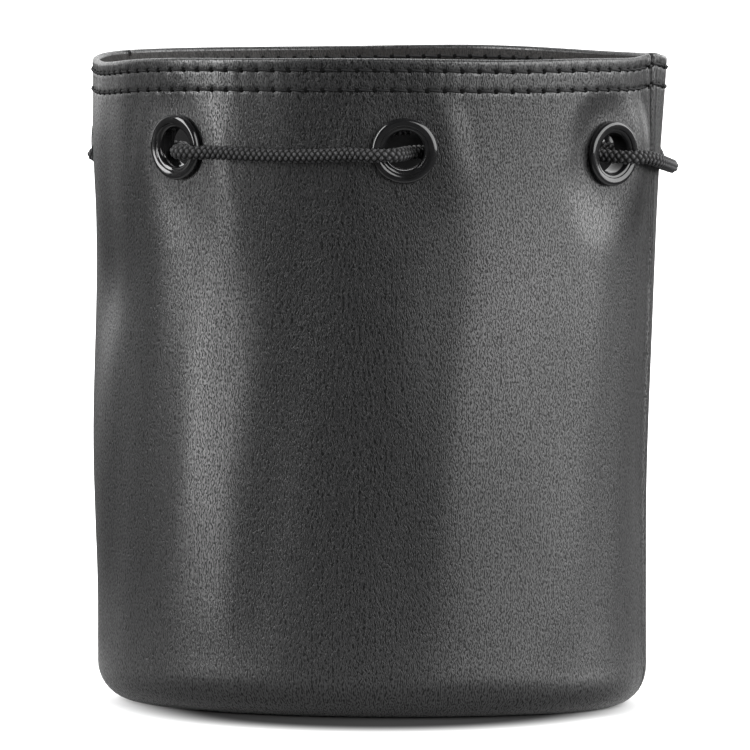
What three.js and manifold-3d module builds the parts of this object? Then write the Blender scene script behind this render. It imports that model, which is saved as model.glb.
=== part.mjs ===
import * as THREE from 'three';
import { mergeVertices } from 'three/addons/utils/BufferGeometryUtils.js';
import Module from 'manifold-3d';

// Drawstring valuables pouch, in millimetres, +Z up, standing on z = 0 with its origin under its
// middle. -Y is the front, and the two tails of the drawstring hang down the rear (+Y).

// Leather bag
const mouthWidth = 134; // outside of the rim, along X
const mouthDepth = 114; // outside of the rim, along Y
const pouchHeight = 150;
const footInset = 2.1; // the wall leans in by this much below the rim
const leanHeight = 55; // and has done so this far below the rim
const edgeRadius = 9; // rounded lower edge
const leather = 1.1;
const hemDepth = 11; // turned-in band round the mouth
const hemSkive = 0.4; // thinning of the hem's lower edge
const seamSetback = 9; // the side seams lie this far behind the middle of the sides
const allowanceWidth = 7; // side seam allowance, folded back inside
const allowanceThickness = 0.8;

// Lining and base
const lining = 0.4;
const liningTuck = 6; // depth below the rim at which the lining ends, inside the hem
const boardThickness = 1.8;

// Eyelets
const eyeletCount = 7;
const frontPitch = 58; // between the two front eyelets, and the others share the rest evenly
const eyeletDrop = 20; // centre below the rim
const eyeletBore = 9;
const eyeletFlange = 15;
const flangeHeight = 1.5;
const eyeletWall = 0.5;
const curlReach = 1.1; // the barrel's end, rolled out over the washer
const curlThickness = 0.6;
const washerDiameter = 14.4;
const washerThickness = 0.7;
const seatMargin = 0.6; // leather pulled flat beyond the flange
const seatBlend = 6; // and how far it takes to follow the wall again
const seatPull = 0.3; // depth to which an eyelet pulls the wall in
const [rightSeat, leftSeat] = [2, 5]; // the two eyelets at the sides
const sideSeatDrop = 1.5; // lie lower than the others by this much
const rightSeatTurn = 10; // the right one faces further to the front, in degrees
const leftSeatShift = 6; // the left one sits further to the rear
const leftSeatPull = 1.5; // and pulls the wall in further

// Drawstring
const cordDiameter = 3.5;
const cordSides = 8;
const cordDrop = 0.8; // cord below the eyelet's centre
const outerSag = 1.3; // further sag in the middle of an outer span
const innerSlack = 3; // inner spans cut the corner by this much
const knotDiameter = 7.6;
const knotLength = 8;
const knotTip = 5;

// Cord lock
const lockHeight = 92; // its middle at rest
const lockDiameter = 13.6;
const lockCollar = 14.6;
const lockWall = 1.2;
const lockFloor = 1.4;
const lockMouth = 1.8; // barrel beyond the cord slot
const lockTravel = 3.4; // how far the button presses in
const plungerBase = 1.6; // plunger between the spring and the cords
const buttonHead = 2.4; // plunger beyond its slot
const pipLength = 2;
const pipDiameter = 3.2;
const springLength = 6.6;
const springDiameter = 7.2;
const springWire = 0.7;
const springTurns = 4;

// Clearances
const gap = 0.3; // between pieces that touch
const cordGap = 0.35; // round the cords in the lock

// Facets
const facetStep = 8.2;
const roundSides = 16;
const lockSides = 20;

// Worked out from the sizes above
const cordRadius = cordDiameter / 2;
const slotDepth = gap + lining + gap;
const hemThickness = leather + slotDepth + leather;
const liningDepth = leather + gap;
const innerFace = liningDepth + lining;
const eyeletHeight = pouchHeight - eyeletDrop;
const seatHalf = eyeletFlange / 2 + seatMargin;
const barrelRadius = eyeletBore / 2 + eyeletWall;
const washerTop = innerFace + gap;
const curlTop = washerTop + washerThickness + gap;
const curlEnd = curlTop + curlThickness;
const flapTop = pouchHeight - hemDepth - 2;
const flapFoot = edgeRadius + 2;

const { Manifold, Mesh } = await manifoldLibrary();

async function manifoldLibrary() {
  const library = await Module();
  library.setup();
  return library;
}

// The rim is an ellipse. A place along it is an arc length from the middle of the rear, going
// round by +X, looked up in a fine table of arc lengths.
const rimTable = rimLengths(1440);
const rimLength = rimTable[rimTable.length - 1];
const sideSeams = [rimLength / 4 - seamSetback, (rimLength * 3) / 4 + seamSetback];
const frontSpan = [sideSeams[0] + gap / 2, sideSeams[1] - gap / 2];
const rearSpan = [sideSeams[1] + gap / 2, sideSeams[0] + rimLength - gap / 2];

function rimAtAngle(angle) {
  return new THREE.Vector2((mouthWidth / 2) * Math.sin(angle), (mouthDepth / 2) * Math.cos(angle));
}

function rimLengths(count) {
  const lengths = [0];
  for (let i = 1; i <= count; i++) {
    const from = rimAtAngle((2 * Math.PI * (i - 1)) / count);
    const to = rimAtAngle((2 * Math.PI * i) / count);
    lengths.push(lengths[i - 1] + from.distanceTo(to));
  }
  return lengths;
}

function rimAt(along) {
  const place = THREE.MathUtils.euclideanModulo(along, rimLength);
  const next = Math.max(1, rimTable.findIndex((length) => length >= place));
  const share = (place - rimTable[next - 1]) / (rimTable[next] - rimTable[next - 1]);
  const angle = (2 * Math.PI * (next - 1 + share)) / (rimTable.length - 1);
  const point = rimAtAngle(angle);
  const outward = new THREE.Vector2(mouthDepth * Math.sin(angle), mouthWidth * Math.cos(angle));
  return { point, outward: outward.normalize() };
}

// How far the wall's outside stands in from the rim at a height
function lean(z) {
  const share = THREE.MathUtils.clamp((pouchHeight - z) / leanHeight, 0, 1);
  return footInset * Math.sin((Math.PI / 2) * share);
}

// Each eyelet has a flat seat, square to the wall at its centre, or turned at the sides.
const eyeletPitch = (rimLength - frontPitch) / (eyeletCount - 1);
const eyelets = Array.from({ length: eyeletCount }, (_, i) => eyeletSeat(i));

function eyeletSeat(index) {
  const wayBack = index > eyeletCount / 2 ? eyeletCount - index : 0;
  const even = wayBack ? rimLength - wayBack * eyeletPitch : index * eyeletPitch;
  const along = index < leftSeat ? even : even + (leftSeatShift * wayBack) / 2;
  const beside = index === rightSeat || index === leftSeat;
  const height = eyeletHeight - (beside ? sideSeatDrop : 0);
  const { point, outward } = rimAt(along);
  const inset = lean(height) + (index === leftSeat ? leftSeatPull : seatPull);
  const slope = lean(height + 0.5) - lean(height - 0.5);
  const centre = point.clone().addScaledVector(outward, -inset);
  const turn = THREE.MathUtils.degToRad(index === rightSeat ? rightSeatTurn : 0);
  const facing = outward.clone().rotateAround(new THREE.Vector2(), -turn * Math.sign(point.x));
  return {
    along,
    centre: new THREE.Vector3(centre.x, centre.y, height),
    normal: new THREE.Vector3(facing.x, facing.y, slope).normalize(),
    tangent: new THREE.Vector3(facing.y, -facing.x, 0),
  };
}

function nearestEyelet(along) {
  const distance = (eyelet) => Math.abs(aroundTo(along, eyelet.along));
  return eyelets.reduce((best, eyelet) => (distance(eyelet) < distance(best) ? eyelet : best));
}

// Signed way along the rim from one place to another, the short way round
function aroundTo(from, to) {
  return THREE.MathUtils.euclideanModulo(to - from + rimLength / 2, rimLength) - rimLength / 2;
}

// A point of the wall: so far along the rim, at a height, so deep inside its outer face. Near an
// eyelet the layers are drawn flat into its seat.
function wallPoint(along, z, depth) {
  const { point, outward } = rimAt(along);
  const free = lean(z) + depth;
  const eyelet = nearestEyelet(along);
  const { smoothstep } = THREE.MathUtils;
  const beside = smoothstep(Math.abs(aroundTo(along, eyelet.along)), seatHalf, seatHalf + seatBlend);
  const above = smoothstep(Math.abs(z - eyelet.centre.z), seatHalf, seatHalf + seatBlend);
  const pull = (1 - beside) * (1 - above);
  const { centre, normal } = eyelet;
  const reach = (point.x - centre.x) * normal.x + (point.y - centre.y) * normal.y;
  const facing = outward.x * normal.x + outward.y * normal.y;
  const flat = (reach + (z - centre.z) * normal.z + depth) / facing;
  return insetPoint(along, pull > 0 ? THREE.MathUtils.lerp(free, flat, pull) : free, z);
}

function insetPoint(along, inset, z) {
  const { point, outward } = rimAt(along);
  return new THREE.Vector3(point.x - outward.x * inset, point.y - outward.y * inset, z);
}

// The rows of corners above and below the eyelets dip with a lower seat.
function rowAt(along, z) {
  if (z > eyeletHeight + seatHalf || z < eyeletHeight - seatHalf - seatBlend) return z;
  const eyelet = nearestEyelet(along);
  const distance = Math.abs(aroundTo(along, eyelet.along));
  const beside = THREE.MathUtils.smoothstep(distance, seatHalf, eyeletPitch / 2);
  return z - (eyeletHeight - eyelet.centre.z) * (1 - beside);
}

// A profile is a list of these: a point of the wall, or one at a fixed inset from the rim.
const onWall = (depth, z) => (along) => wallPoint(along, rowAt(along, z), depth);
const atInset = (inset, z) => (along) => insetPoint(along, inset, z);

// The rounded lower edge, seen at a depth inside the leather's outer face
const footCentre = lean(edgeRadius) + edgeRadius;

function onEdge(depth, angle) {
  const radius = edgeRadius - depth;
  return atInset(footCentre - radius * Math.cos(angle), edgeRadius - radius * Math.sin(angle));
}

// Heights at which the wall has a row of corners, from under the hem down to the lower edge
function wallRows(top) {
  const seatRows = [seatHalf, -seatHalf, -seatHalf - seatBlend].map((rise) => eyeletHeight + rise);
  return [top, ...seatRows, pouchHeight - leanHeight, edgeRadius].filter((z) => z <= top);
}

// Places along the rim for a piece from one place to another: both ends, the edges of each
// eyelet's seat, any others that are asked for, and even steps between them
function stations(from, to, others = []) {
  const seats = eyelets.flatMap(({ along }) => [along - seatHalf, along + seatHalf]);
  const turns = [-rimLength, 0, rimLength];
  const fixed = [...seats, ...others].flatMap((along) => turns.map((turn) => along + turn));
  const kept = fixed.filter((along) => along > from + 0.3 && along < to - 0.3);
  const marks = [from, ...kept.sort((a, b) => a - b), to];
  return marks.flatMap((mark, i) => {
    if (i === marks.length - 1) return [mark];
    const steps = Math.ceil((marks[i + 1] - mark) / facetStep - 0.05);
    return Array.from({ length: steps }, (_, n) => mark + ((marks[i + 1] - mark) * n) / steps);
  });
}

// All round, starting at a side seam
function roundStations() {
  return stations(sideSeams[0], sideSeams[0] + rimLength).slice(0, -1);
}

function geometryOf(points, triangles) {
  const geometry = new THREE.BufferGeometry();
  const positions = points.flatMap((point) => point.toArray());
  const facing = signedVolume(points, triangles) > 0 ? triangles : triangles.map(flipped);
  geometry.setAttribute('position', new THREE.Float32BufferAttribute(positions, 3));
  geometry.setIndex(facing.flat());
  return geometry;
}

const flipped = ([a, b, c]) => [a, c, b];

function signedVolume(points, triangles) {
  return triangles.reduce((sum, [a, b, c]) => sum + points[a].dot(points[b].clone().cross(points[c])), 0);
}

// A closed profile carried along the rim, with flat ends. Each four corners are split from the lower
// one at one place to the upper one at the next, so that layers on each other are split alike.
function sweepProfile(along, profile) {
  const count = profile.length;
  const points = along.flatMap((place) => profile.map((at) => at(place)));
  const triangles = [];
  for (let i = 0; i + 1 < along.length; i++) {
    for (let j = 0; j < count; j++) {
      const [a, b] = [i * count + j, i * count + ((j + 1) % count)];
      const [c, d] = [a + count, b + count];
      if (points[b].z > points[a].z) triangles.push([a, b, d], [a, d, c]);
      else triangles.push([a, b, c], [b, d, c]);
    }
  }
  const first = endFaces(points.slice(0, count), along[0]);
  const last = endFaces(points.slice(-count), along[along.length - 1]);
  const offset = (along.length - 1) * count;
  triangles.push(...first.map(flipped));
  triangles.push(...last.map((face) => face.map((corner) => corner + offset)));
  return geometryOf(points, triangles);
}

// Triangles that fill a profile, wound the way the profile runs
function endFaces(points, along) {
  const { outward } = rimAt(along);
  const outline = points.map((p) => new THREE.Vector2(p.x * outward.x + p.y * outward.y, p.z));
  const way = Math.sign(THREE.ShapeUtils.area(outline));
  return THREE.ShapeUtils.triangulateShape(outline, []).map((face) => {
    const turn = Math.sign(THREE.ShapeUtils.area(face.map((corner) => outline[corner])));
    return turn === way ? face : flipped(face);
  });
}

// A plate or tray that fills the oval: rings from the upper face out and down to the lower face,
// closed by a point in the middle of each face
function ovalTray(rings) {
  const along = roundStations();
  const count = along.length;
  const points = rings.flatMap((at) => along.map((place) => at(place)));
  const upper = points.push(new THREE.Vector3(0, 0, points[0].z)) - 1;
  const lower = points.push(new THREE.Vector3(0, 0, points[points.length - 2].z)) - 1;
  const triangles = [];
  for (let i = 0; i < count; i++) {
    const next = (i + 1) % count;
    for (let ring = 0; ring + 1 < rings.length; ring++) {
      const a = ring * count;
      const b = a + count;
      triangles.push([a + i, b + i, b + next], [a + i, b + next, a + next]);
    }
    const last = (rings.length - 1) * count;
    triangles.push([upper, i, next], [lower, last + next, last + i]);
  }
  return geometryOf(points, triangles);
}

// Geometry to solid and back, for the cuts and joins. A profile drawn the other way round gives a
// body that faces in, which is turned to face out.
function solid(geometry) {
  const bare = new THREE.BufferGeometry();
  bare.setAttribute('position', geometry.getAttribute('position'));
  bare.setIndex(geometry.index);
  const merged = mergeVertices(bare, 1e-4);
  const vertProperties = merged.attributes.position.array;
  const corners = new Uint32Array(merged.index.array);
  const made = new Manifold(new Mesh({ numProp: 3, vertProperties, triVerts: corners }));
  if (made.volume() > 0) return made;
  return new Manifold(new Mesh({ numProp: 3, vertProperties, triVerts: corners.reverse() }));
}

function shell(manifold) {
  const { vertProperties, triVerts } = manifold.getMesh();
  const geometry = new THREE.BufferGeometry();
  geometry.setAttribute('position', new THREE.BufferAttribute(vertProperties, 3));
  geometry.setIndex(new THREE.BufferAttribute(triVerts, 1));
  return geometry;
}

// A profile of [radius, height] points turned about +Y
function turned(points, sides) {
  const profile = points.map(([radius, height]) => new THREE.Vector2(radius, height));
  return shell(solid(new THREE.LatheGeometry(profile, sides)));
}

// Drills the eyelet holes that lie between two places through a panel
function withEyeletHoles(geometry, [from, to]) {
  const radius = (barrelRadius + gap) / Math.cos(Math.PI / roundSides);
  return eyelets.reduce((panel, eyelet) => {
    const place = THREE.MathUtils.euclideanModulo(eyelet.along - from, rimLength);
    if (place > to - from) return panel;
    const drill = new THREE.CylinderGeometry(radius, radius, 4 * seatHalf, roundSides);
    drill.applyQuaternion(squareTo(eyelet));
    drill.translate(...eyelet.centre);
    return panel.subtract(solid(drill));
  }, solid(geometry));
}

function squareTo(eyelet) {
  return new THREE.Quaternion().setFromUnitVectors(new THREE.Vector3(0, 1, 0), eyelet.normal);
}

// Outer leather of one half: from the rolled rim down the outside, round the lower edge to the
// base seam, where the allowance is turned up, and back up the inside to the turned-in hem, which
// leaves a slot for the lining
function leatherProfile() {
  const rollHeight = hemThickness / 2;
  const hemFoot = pouchHeight - hemDepth;
  const turnUp = footCentre + leather / 2;
  const seamTop = leather + gap + boardThickness;
  const outerRows = wallRows(pouchHeight - seatMargin - rollHeight);
  const innerRows = wallRows(hemFoot).reverse();
  return [
    onWall(hemThickness / 2, pouchHeight),
    onWall(hemThickness * 0.15, pouchHeight - rollHeight * 0.3),
    ...outerRows.map((z) => onWall(0, z)),
    onEdge(0, Math.PI / 6),
    onEdge(0, Math.PI / 3),
    onEdge(0, Math.PI / 2),
    atInset(turnUp, leather / 2),
    atInset(turnUp, seamTop),
    atInset(turnUp - leather, seamTop),
    onEdge(leather, Math.PI * 0.42),
    onEdge(leather, Math.PI * 0.32),
    onEdge(leather, Math.PI * 0.22),
    onEdge(leather, Math.PI * 0.11),
    ...innerRows.map((z) => onWall(leather, z)),
    onWall(leather, pouchHeight - liningTuck + gap),
    onWall(leather + slotDepth, pouchHeight - liningTuck + gap),
    onWall(leather + slotDepth, hemFoot),
    onWall(hemThickness - hemSkive, hemFoot),
    onWall(hemThickness, hemFoot + hemSkive * 2),
    onWall(hemThickness, pouchHeight - seatMargin - rollHeight),
    onWall(hemThickness * 0.85, pouchHeight - rollHeight * 0.3),
  ];
}

// The seam allowance of a side seam, folded back against the inside of its own panel
function allowance(from, to) {
  const rows = wallRows(flapTop).filter((z) => z > flapFoot);
  const outer = [...rows, flapFoot].map((z) => onWall(leather / 2, z));
  const inner = [...rows, flapFoot].map((z) => onWall(leather + allowanceThickness, z));
  return sweepProfile(stations(from, to), [...outer, ...inner.reverse()]);
}

function leatherPanel([from, to]) {
  const panel = withEyeletHoles(sweepProfile(stations(from, to), leatherProfile()), [from, to]);
  const first = solid(allowance(from, from + allowanceWidth));
  const second = solid(allowance(to - allowanceWidth, to));
  return shell(panel.add(first).add(second));
}

// The lining passes over the seam allowances, so it stands further in beside the side seams.
function onLining(depth, z) {
  const over = z > flapTop + gap || z < flapFoot - gap ? 0 : allowanceThickness;
  return (along) => {
    const nearest = Math.min(...sideSeams.map((seam) => Math.abs(aroundTo(along, seam))));
    const covered = nearest < allowanceWidth + gap * 2 ? over : 0;
    return wallPoint(along, rowAt(along, z), depth + covered);
  };
}

function liningProfile() {
  const slotFoot = pouchHeight - hemDepth - gap;
  const rows = wallRows(slotFoot).filter((z) => Math.abs(z - flapTop) > 1);
  const heights = [pouchHeight - liningTuck, ...rows, flapTop + gap, flapFoot - gap];
  heights.sort((a, b) => b - a);
  const floorTop = leather + gap + boardThickness + gap + lining + gap;
  const footAngle = (depth) => Math.asin((edgeRadius - floorTop) / (edgeRadius - depth));
  const outerFoot = [0.5, 1].map((share) => onEdge(liningDepth, share * footAngle(liningDepth)));
  const innerFoot = [1, 0.5].map((share) => onEdge(innerFace, share * footAngle(innerFace)));
  const outer = heights.map((z) => onLining(liningDepth, z));
  const inner = heights.map((z) => onLining(innerFace, z)).reverse();
  return [...outer, ...outerFoot, ...innerFoot, ...inner];
}

function liningPanel([from, to]) {
  const steps = [allowanceWidth + gap, allowanceWidth + gap * 3];
  const along = stations(from, to, steps.flatMap((step) => [from + step, to - step]));
  return shell(withEyeletHoles(sweepProfile(along, liningProfile()), [from, to]));
}

// Base, from the ground up: leather tray, board inside its turned-up edge, lining floor over both
function bottomPanel() {
  const edge = footCentre + leather / 2 + gap;
  const seamTop = leather + gap + boardThickness;
  return ovalTray([
    atInset(edge + leather, leather),
    atInset(edge + leather, seamTop),
    atInset(edge, seamTop),
    atInset(edge, leather / 2),
    atInset(edge + leather / 2, 0),
  ]);
}

function bottomBoard() {
  const edge = footCentre + leather / 2 + gap + leather + gap;
  const foot = leather + gap;
  return ovalTray([atInset(edge, foot + boardThickness), atInset(edge, foot)]);
}

function liningFloor() {
  const foot = leather + gap + boardThickness + gap;
  const radius = edgeRadius - leather - gap;
  const edge = footCentre - Math.sqrt(radius ** 2 - (edgeRadius - foot) ** 2) + gap;
  return ovalTray([atInset(edge, foot + lining), atInset(edge, foot)]);
}

// A set eyelet: rolled flange outside, barrel through the layers, end curled over the washer
function eyeletShape() {
  const bore = eyeletBore / 2;
  const flange = eyeletFlange / 2;
  const middle = (bore + flange) / 2;
  const shoulder = gap + flangeHeight * 0.4;
  const roll = [0, 0.2, 0.5, 0.8, 1].map((share) => {
    const angle = Math.PI * share;
    const across = (flange - bore) / 2;
    return [middle - across * Math.cos(angle), shoulder + flangeHeight * 0.6 * Math.sin(angle)];
  });
  const profile = [
    [bore, -curlEnd],
    ...roll,
    [flange - gap, gap],
    [barrelRadius, gap],
    [barrelRadius, -curlTop],
    [barrelRadius + curlReach, -curlTop],
    [barrelRadius + curlReach * 0.8, -curlEnd],
    [bore, -curlEnd],
  ];
  return turned(profile, roundSides);
}

function washerShape() {
  const inner = barrelRadius + gap;
  const outer = washerDiameter / 2;
  const foot = -washerTop - washerThickness;
  const profile = [
    [inner, -washerTop],
    [inner, foot],
    [outer - washerThickness / 2, foot],
    [outer, foot + washerThickness / 2],
    [outer, -washerTop],
    [inner, -washerTop],
  ];
  return turned(profile, roundSides);
}

// A cord route steps from point to point, so it can take short steps through the eyelets.
class CordRoute extends THREE.CatmullRomCurve3 {
  constructor(points) {
    super(points, false, 'centripetal');
  }

  getUtoTmapping(u) {
    return u;
  }
}

function cordTube(points) {
  return tube(points, cordRadius, cordSides);
}

function tube(points, radius, sides) {
  const corners = Array.from({ length: sides }, (_, i) => {
    const angle = (2 * Math.PI * i) / sides;
    return new THREE.Vector2(radius * Math.cos(angle), radius * Math.sin(angle));
  });
  const settings = { steps: points.length - 1, extrudePath: new CordRoute(points) };
  return shell(solid(new THREE.ExtrudeGeometry(new THREE.Shape(corners), settings)));
}

// A point beside an eyelet: along the rim, out from its seat, and down
function besideEyelet(eyelet, along, out, down) {
  const point = eyelet.centre.clone().addScaledVector(eyelet.tangent, along);
  point.addScaledVector(eyelet.normal, out);
  point.z -= down;
  return point;
}

const insideRun = -(curlEnd + gap + cordRadius);
const outsideRun = gap + flangeHeight + gap + cordRadius;
const tailSpread = cordRadius + gap / 2; // the two cords side by side in the rear eyelet
const tailStart = gap + flangeHeight + 1; // where the free tails begin, out from the rear eyelet

// Through an eyelet from inside to outside: [along, out]
const crossing = [
  [-7.4, insideRun],
  [-4.2, insideRun - 0.1],
  [-2.3, insideRun + 1.2],
  [-0.9, -2.7],
  [0, -0.95],
  [0.9, 0.9],
  [2.3, 2.8],
  [4.2, outsideRun],
  [7.4, outsideRun],
];

// From the inside out through the rear eyelet, which both cords share: [along, out]
const closureExit = [
  [7.4, insideRun],
  [4.6, insideRun - 0.3],
  [2.7, insideRun + 0.6],
  [2, -3.2],
  [tailSpread, -1],
  [tailSpread, tailStart - gap],
];

function crossingPoints(eyelet, outward) {
  const way = outward ? 1 : -1;
  const points = crossing.map(([along, out]) => besideEyelet(eyelet, along * way, out, cordDrop));
  return outward ? points : points.reverse();
}

// The cord between two eyelets lies against the wall outside, or cuts the corner inside.
function spanPoints(eyelet, next, outside) {
  const pitch = THREE.MathUtils.euclideanModulo(next.along - eyelet.along, rimLength);
  return [0.22, 0.36, 0.5, 0.64, 0.78].map((share) => {
    const belly = Math.sin(Math.PI * share) ** 2;
    const depth = outside ? -(gap + cordRadius) : innerFace + gap + cordRadius + innerSlack * belly;
    const level = THREE.MathUtils.lerp(eyelet.centre.z, next.centre.z, share) - cordDrop;
    return wallPoint(eyelet.along + pitch * share, level - (outside ? outerSag * belly : 0), depth);
  });
}

function drawstringPoints() {
  const [rear] = eyelets;
  const exit = (side) => closureExit.map(([along, out]) => besideEyelet(rear, along * side, out, cordDrop));
  const points = exit(1).reverse();
  eyelets.forEach((eyelet, i) => {
    const outside = i % 2 === 1;
    if (i > 0) points.push(...crossingPoints(eyelet, outside));
    points.push(...spanPoints(eyelet, eyelets[(i + 1) % eyeletCount], outside));
  });
  return [...points, ...exit(-1)];
}

// A free tail: [aside, out from the rear eyelet, down from it]. It leaves level, bends down, runs
// straight where the lock slides, and spreads to its knot.
const tailPoints = [
  [tailSpread, tailStart, cordDrop],
  [tailSpread, 4, cordDrop],
  [tailSpread, 7, 1.3],
  [tailSpread, 9.6, 2.8],
  [tailSpread, 11.5, 5.2],
  [tailSpread, 12.5, 8],
  [tailSpread, 12.7, 10.5],
  [tailSpread, 12.7, 18],
  [tailSpread, 12.7, 28],
  [tailSpread, 12.7, 38],
  [tailSpread, 12.7, 48],
  [tailSpread, 12.7, 58],
  [tailSpread, 12.7, 66],
  [tailSpread, 12.7, 70],
  [2.6, 12.6, 75],
  [4.2, 12.3, 80],
  [5.5, 11.9, 85],
  [6, 11.7, 90],
];

function tailRoute(side) {
  const [rear] = eyelets;
  return tailPoints.map(
    ([aside, out, down]) =>
      new THREE.Vector3(aside * side, rear.centre.y + out, rear.centre.z - down),
  );
}

// A stopper knot with a short tip: a turned body whose sides swell in three twisted lobes
function knotShape() {
  const rings = 7;
  const total = knotLength + knotTip;
  const profile = [[0, 0]];
  for (let i = 0; i <= rings; i++) {
    const share = i / rings;
    const swell = Math.sin(Math.PI * share) ** 0.7;
    profile.push([cordRadius + (knotDiameter / 2 - cordRadius) * swell, -knotLength * share]);
  }
  profile.push([cordRadius * 0.9, 1 - total], [cordRadius * 0.6, -total], [0, -total]);
  const body = new THREE.LatheGeometry(profile.map(([r, y]) => new THREE.Vector2(r, y)), 10);
  const position = body.getAttribute('position');
  for (let i = 0; i < position.count; i++) {
    const [x, y, z] = [position.getX(i), position.getY(i), position.getZ(i)];
    const share = THREE.MathUtils.clamp(-y / knotLength, 0, 1);
    const lobe = 1 + 0.13 * Math.sin(Math.PI * share) * Math.cos(3 * Math.atan2(z, x) + 4 * share);
    position.setXYZ(i, x * lobe, y, z * lobe);
  }
  return shell(solid(body));
}

// Cord lock, along its own +Y from its closed end, which lies towards the rear wall
const slotMiddle = lockFloor + gap + springLength + gap + plungerBase + cordGap + cordRadius;
const slotHalfHeight = cordRadius + cordGap;
const slotHalfWidth = tailSpread + slotHalfHeight;
const lockLength = slotMiddle + slotHalfHeight + lockMouth;
const plungerFoot = slotMiddle - slotHalfHeight - plungerBase;
const boreRadius = lockDiameter / 2 - lockWall;

// The slot for the two cords, through the lock along Z, with ends that follow the cords
function cordSlot(extra) {
  const outline = new THREE.Shape();
  const low = slotMiddle - slotHalfHeight;
  const high = slotMiddle + slotHalfHeight + extra;
  const r = slotHalfHeight;
  outline.moveTo(-tailSpread, low);
  outline.absarc(tailSpread, low + r, r, -Math.PI / 2, 0);
  outline.absarc(tailSpread, high - r, r, 0, Math.PI / 2);
  outline.absarc(-tailSpread, high - r, r, Math.PI / 2, Math.PI);
  outline.absarc(-tailSpread, low + r, r, Math.PI, Math.PI * 1.5);
  const slot = new THREE.ExtrudeGeometry(outline, {
    depth: lockCollar * 2,
    bevelEnabled: false,
    curveSegments: 4,
  });
  return solid(slot.translate(0, 0, -lockCollar));
}

function lockBarrel() {
  const outer = lockDiameter / 2;
  const collar = lockCollar / 2;
  const profile = [
    [0, 0],
    [outer * 0.7, 0],
    [outer * 0.93, lockFloor * 0.5],
    [outer, lockFloor * 1.6],
    [outer, lockLength - 2.6],
    [collar, lockLength - 2.2],
    [collar, lockLength - 0.5],
    [collar - 0.5, lockLength],
    [boreRadius, lockLength],
    [boreRadius, lockFloor],
    [0, lockFloor],
  ];
  return shell(solid(turned(profile, lockSides)).subtract(cordSlot(0)));
}

function lockPlunger() {
  const radius = boreRadius - gap;
  const head = slotMiddle + slotHalfHeight + lockTravel + buttonHead;
  const profile = [
    [0, plungerFoot - pipLength],
    [pipDiameter / 2 - 0.3, plungerFoot - pipLength],
    [pipDiameter / 2, plungerFoot - pipLength + 0.4],
    [pipDiameter / 2, plungerFoot],
    [radius - 0.4, plungerFoot],
    [radius, plungerFoot + 0.4],
    [radius, head - 1],
    [radius - 0.4, head - 0.2],
    [radius - 1.4, head],
    [radius - 2, head - 0.1],
    [radius - 2.7, head - 0.6],
    [0, head - 0.8],
  ];
  return shell(solid(turned(profile, lockSides)).subtract(cordSlot(lockTravel)));
}

function lockSpring() {
  const stepsPerTurn = 8;
  const steps = springTurns * stepsPerTurn;
  const low = lockFloor + gap + springWire / 2;
  const rise = springLength - springWire;
  const radius = springDiameter / 2;
  const points = Array.from({ length: steps + 1 }, (_, i) => {
    const angle = (2 * Math.PI * i) / stepsPerTurn;
    return new THREE.Vector3(radius * Math.cos(angle), low + (rise * i) / steps, radius * Math.sin(angle));
  });
  return tube(points, springWire / 2, 5);
}

// Finishes
const finishes = {
  leather: { color: 0x262627, roughness: 0.5, metalness: 0 },
  lining: { color: 0x1b1b1d, roughness: 0.9, metalness: 0 },
  board: { color: 0x4a4a4c, roughness: 0.8, metalness: 0 },
  enamel: { color: 0x0c0c0d, roughness: 0.25, metalness: 0.4 },
  cord: { color: 0x141415, roughness: 0.85, metalness: 0 },
  plastic: { color: 0x161617, roughness: 0.45, metalness: 0 },
  steel: { color: 0x9a9ca0, roughness: 0.35, metalness: 1 },
};

function part(name, geometry, finish) {
  const mesh = new THREE.Mesh(geometry, new THREE.MeshStandardMaterial(finishes[finish]));
  mesh.name = name;
  return mesh;
}

function eyeletParts(eyelet, i) {
  const seat = new THREE.Group();
  seat.add(part(`eyelet_${i + 1}`, eyeletShape(), 'enamel'));
  seat.add(part(`eyelet_washer_${i + 1}`, washerShape(), 'enamel'));
  seat.position.copy(eyelet.centre);
  seat.quaternion.copy(squareTo(eyelet));
  return seat;
}

function tailParts(side, name) {
  const route = tailRoute(side);
  const knot = part(`tail_knot_${name}`, knotShape(), 'cord');
  knot.rotation.x = Math.PI / 2;
  knot.position.copy(route[route.length - 1]);
  knot.position.z -= gap;
  const group = new THREE.Group();
  group.add(part(`drawstring_tail_${name}`, cordTube(route), 'cord'), knot);
  return group;
}

function cordLock() {
  const lock = new THREE.Group();
  lock.add(part('lock_barrel', lockBarrel(), 'plastic'));
  lock.add(part('lock_plunger', lockPlunger(), 'plastic'));
  lock.add(part('lock_spring', lockSpring(), 'steel'));
  const straight = tailRoute(1)[tailPoints.length >> 1];
  lock.position.set(0, straight.y - slotMiddle, lockHeight);
  return lock;
}

const pouch = new THREE.Group();
pouch.add(part('front_panel', leatherPanel(frontSpan), 'leather'));
pouch.add(part('rear_panel', leatherPanel(rearSpan), 'leather'));
pouch.add(part('bottom_panel', bottomPanel(), 'leather'));
pouch.add(part('bottom_board', bottomBoard(), 'board'));
pouch.add(part('lining_front', liningPanel(frontSpan), 'lining'));
pouch.add(part('lining_rear', liningPanel(rearSpan), 'lining'));
pouch.add(part('lining_bottom', liningFloor(), 'lining'));
pouch.add(...eyelets.map(eyeletParts));
pouch.add(part('drawstring', cordTube(drawstringPoints()), 'cord'));
pouch.add(tailParts(-1, 'left'), tailParts(1, 'right'));
pouch.add(cordLock());

export default pouch;
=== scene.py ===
"""Drawstring valuables pouch: an oval leather bag with a braided drawstring through seven eyelets.

The script is laid out as an add-on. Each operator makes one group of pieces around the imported
frame, in metres, +Z up, and the panel in the sidebar lists the sizes and the operators."""
import math

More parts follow.
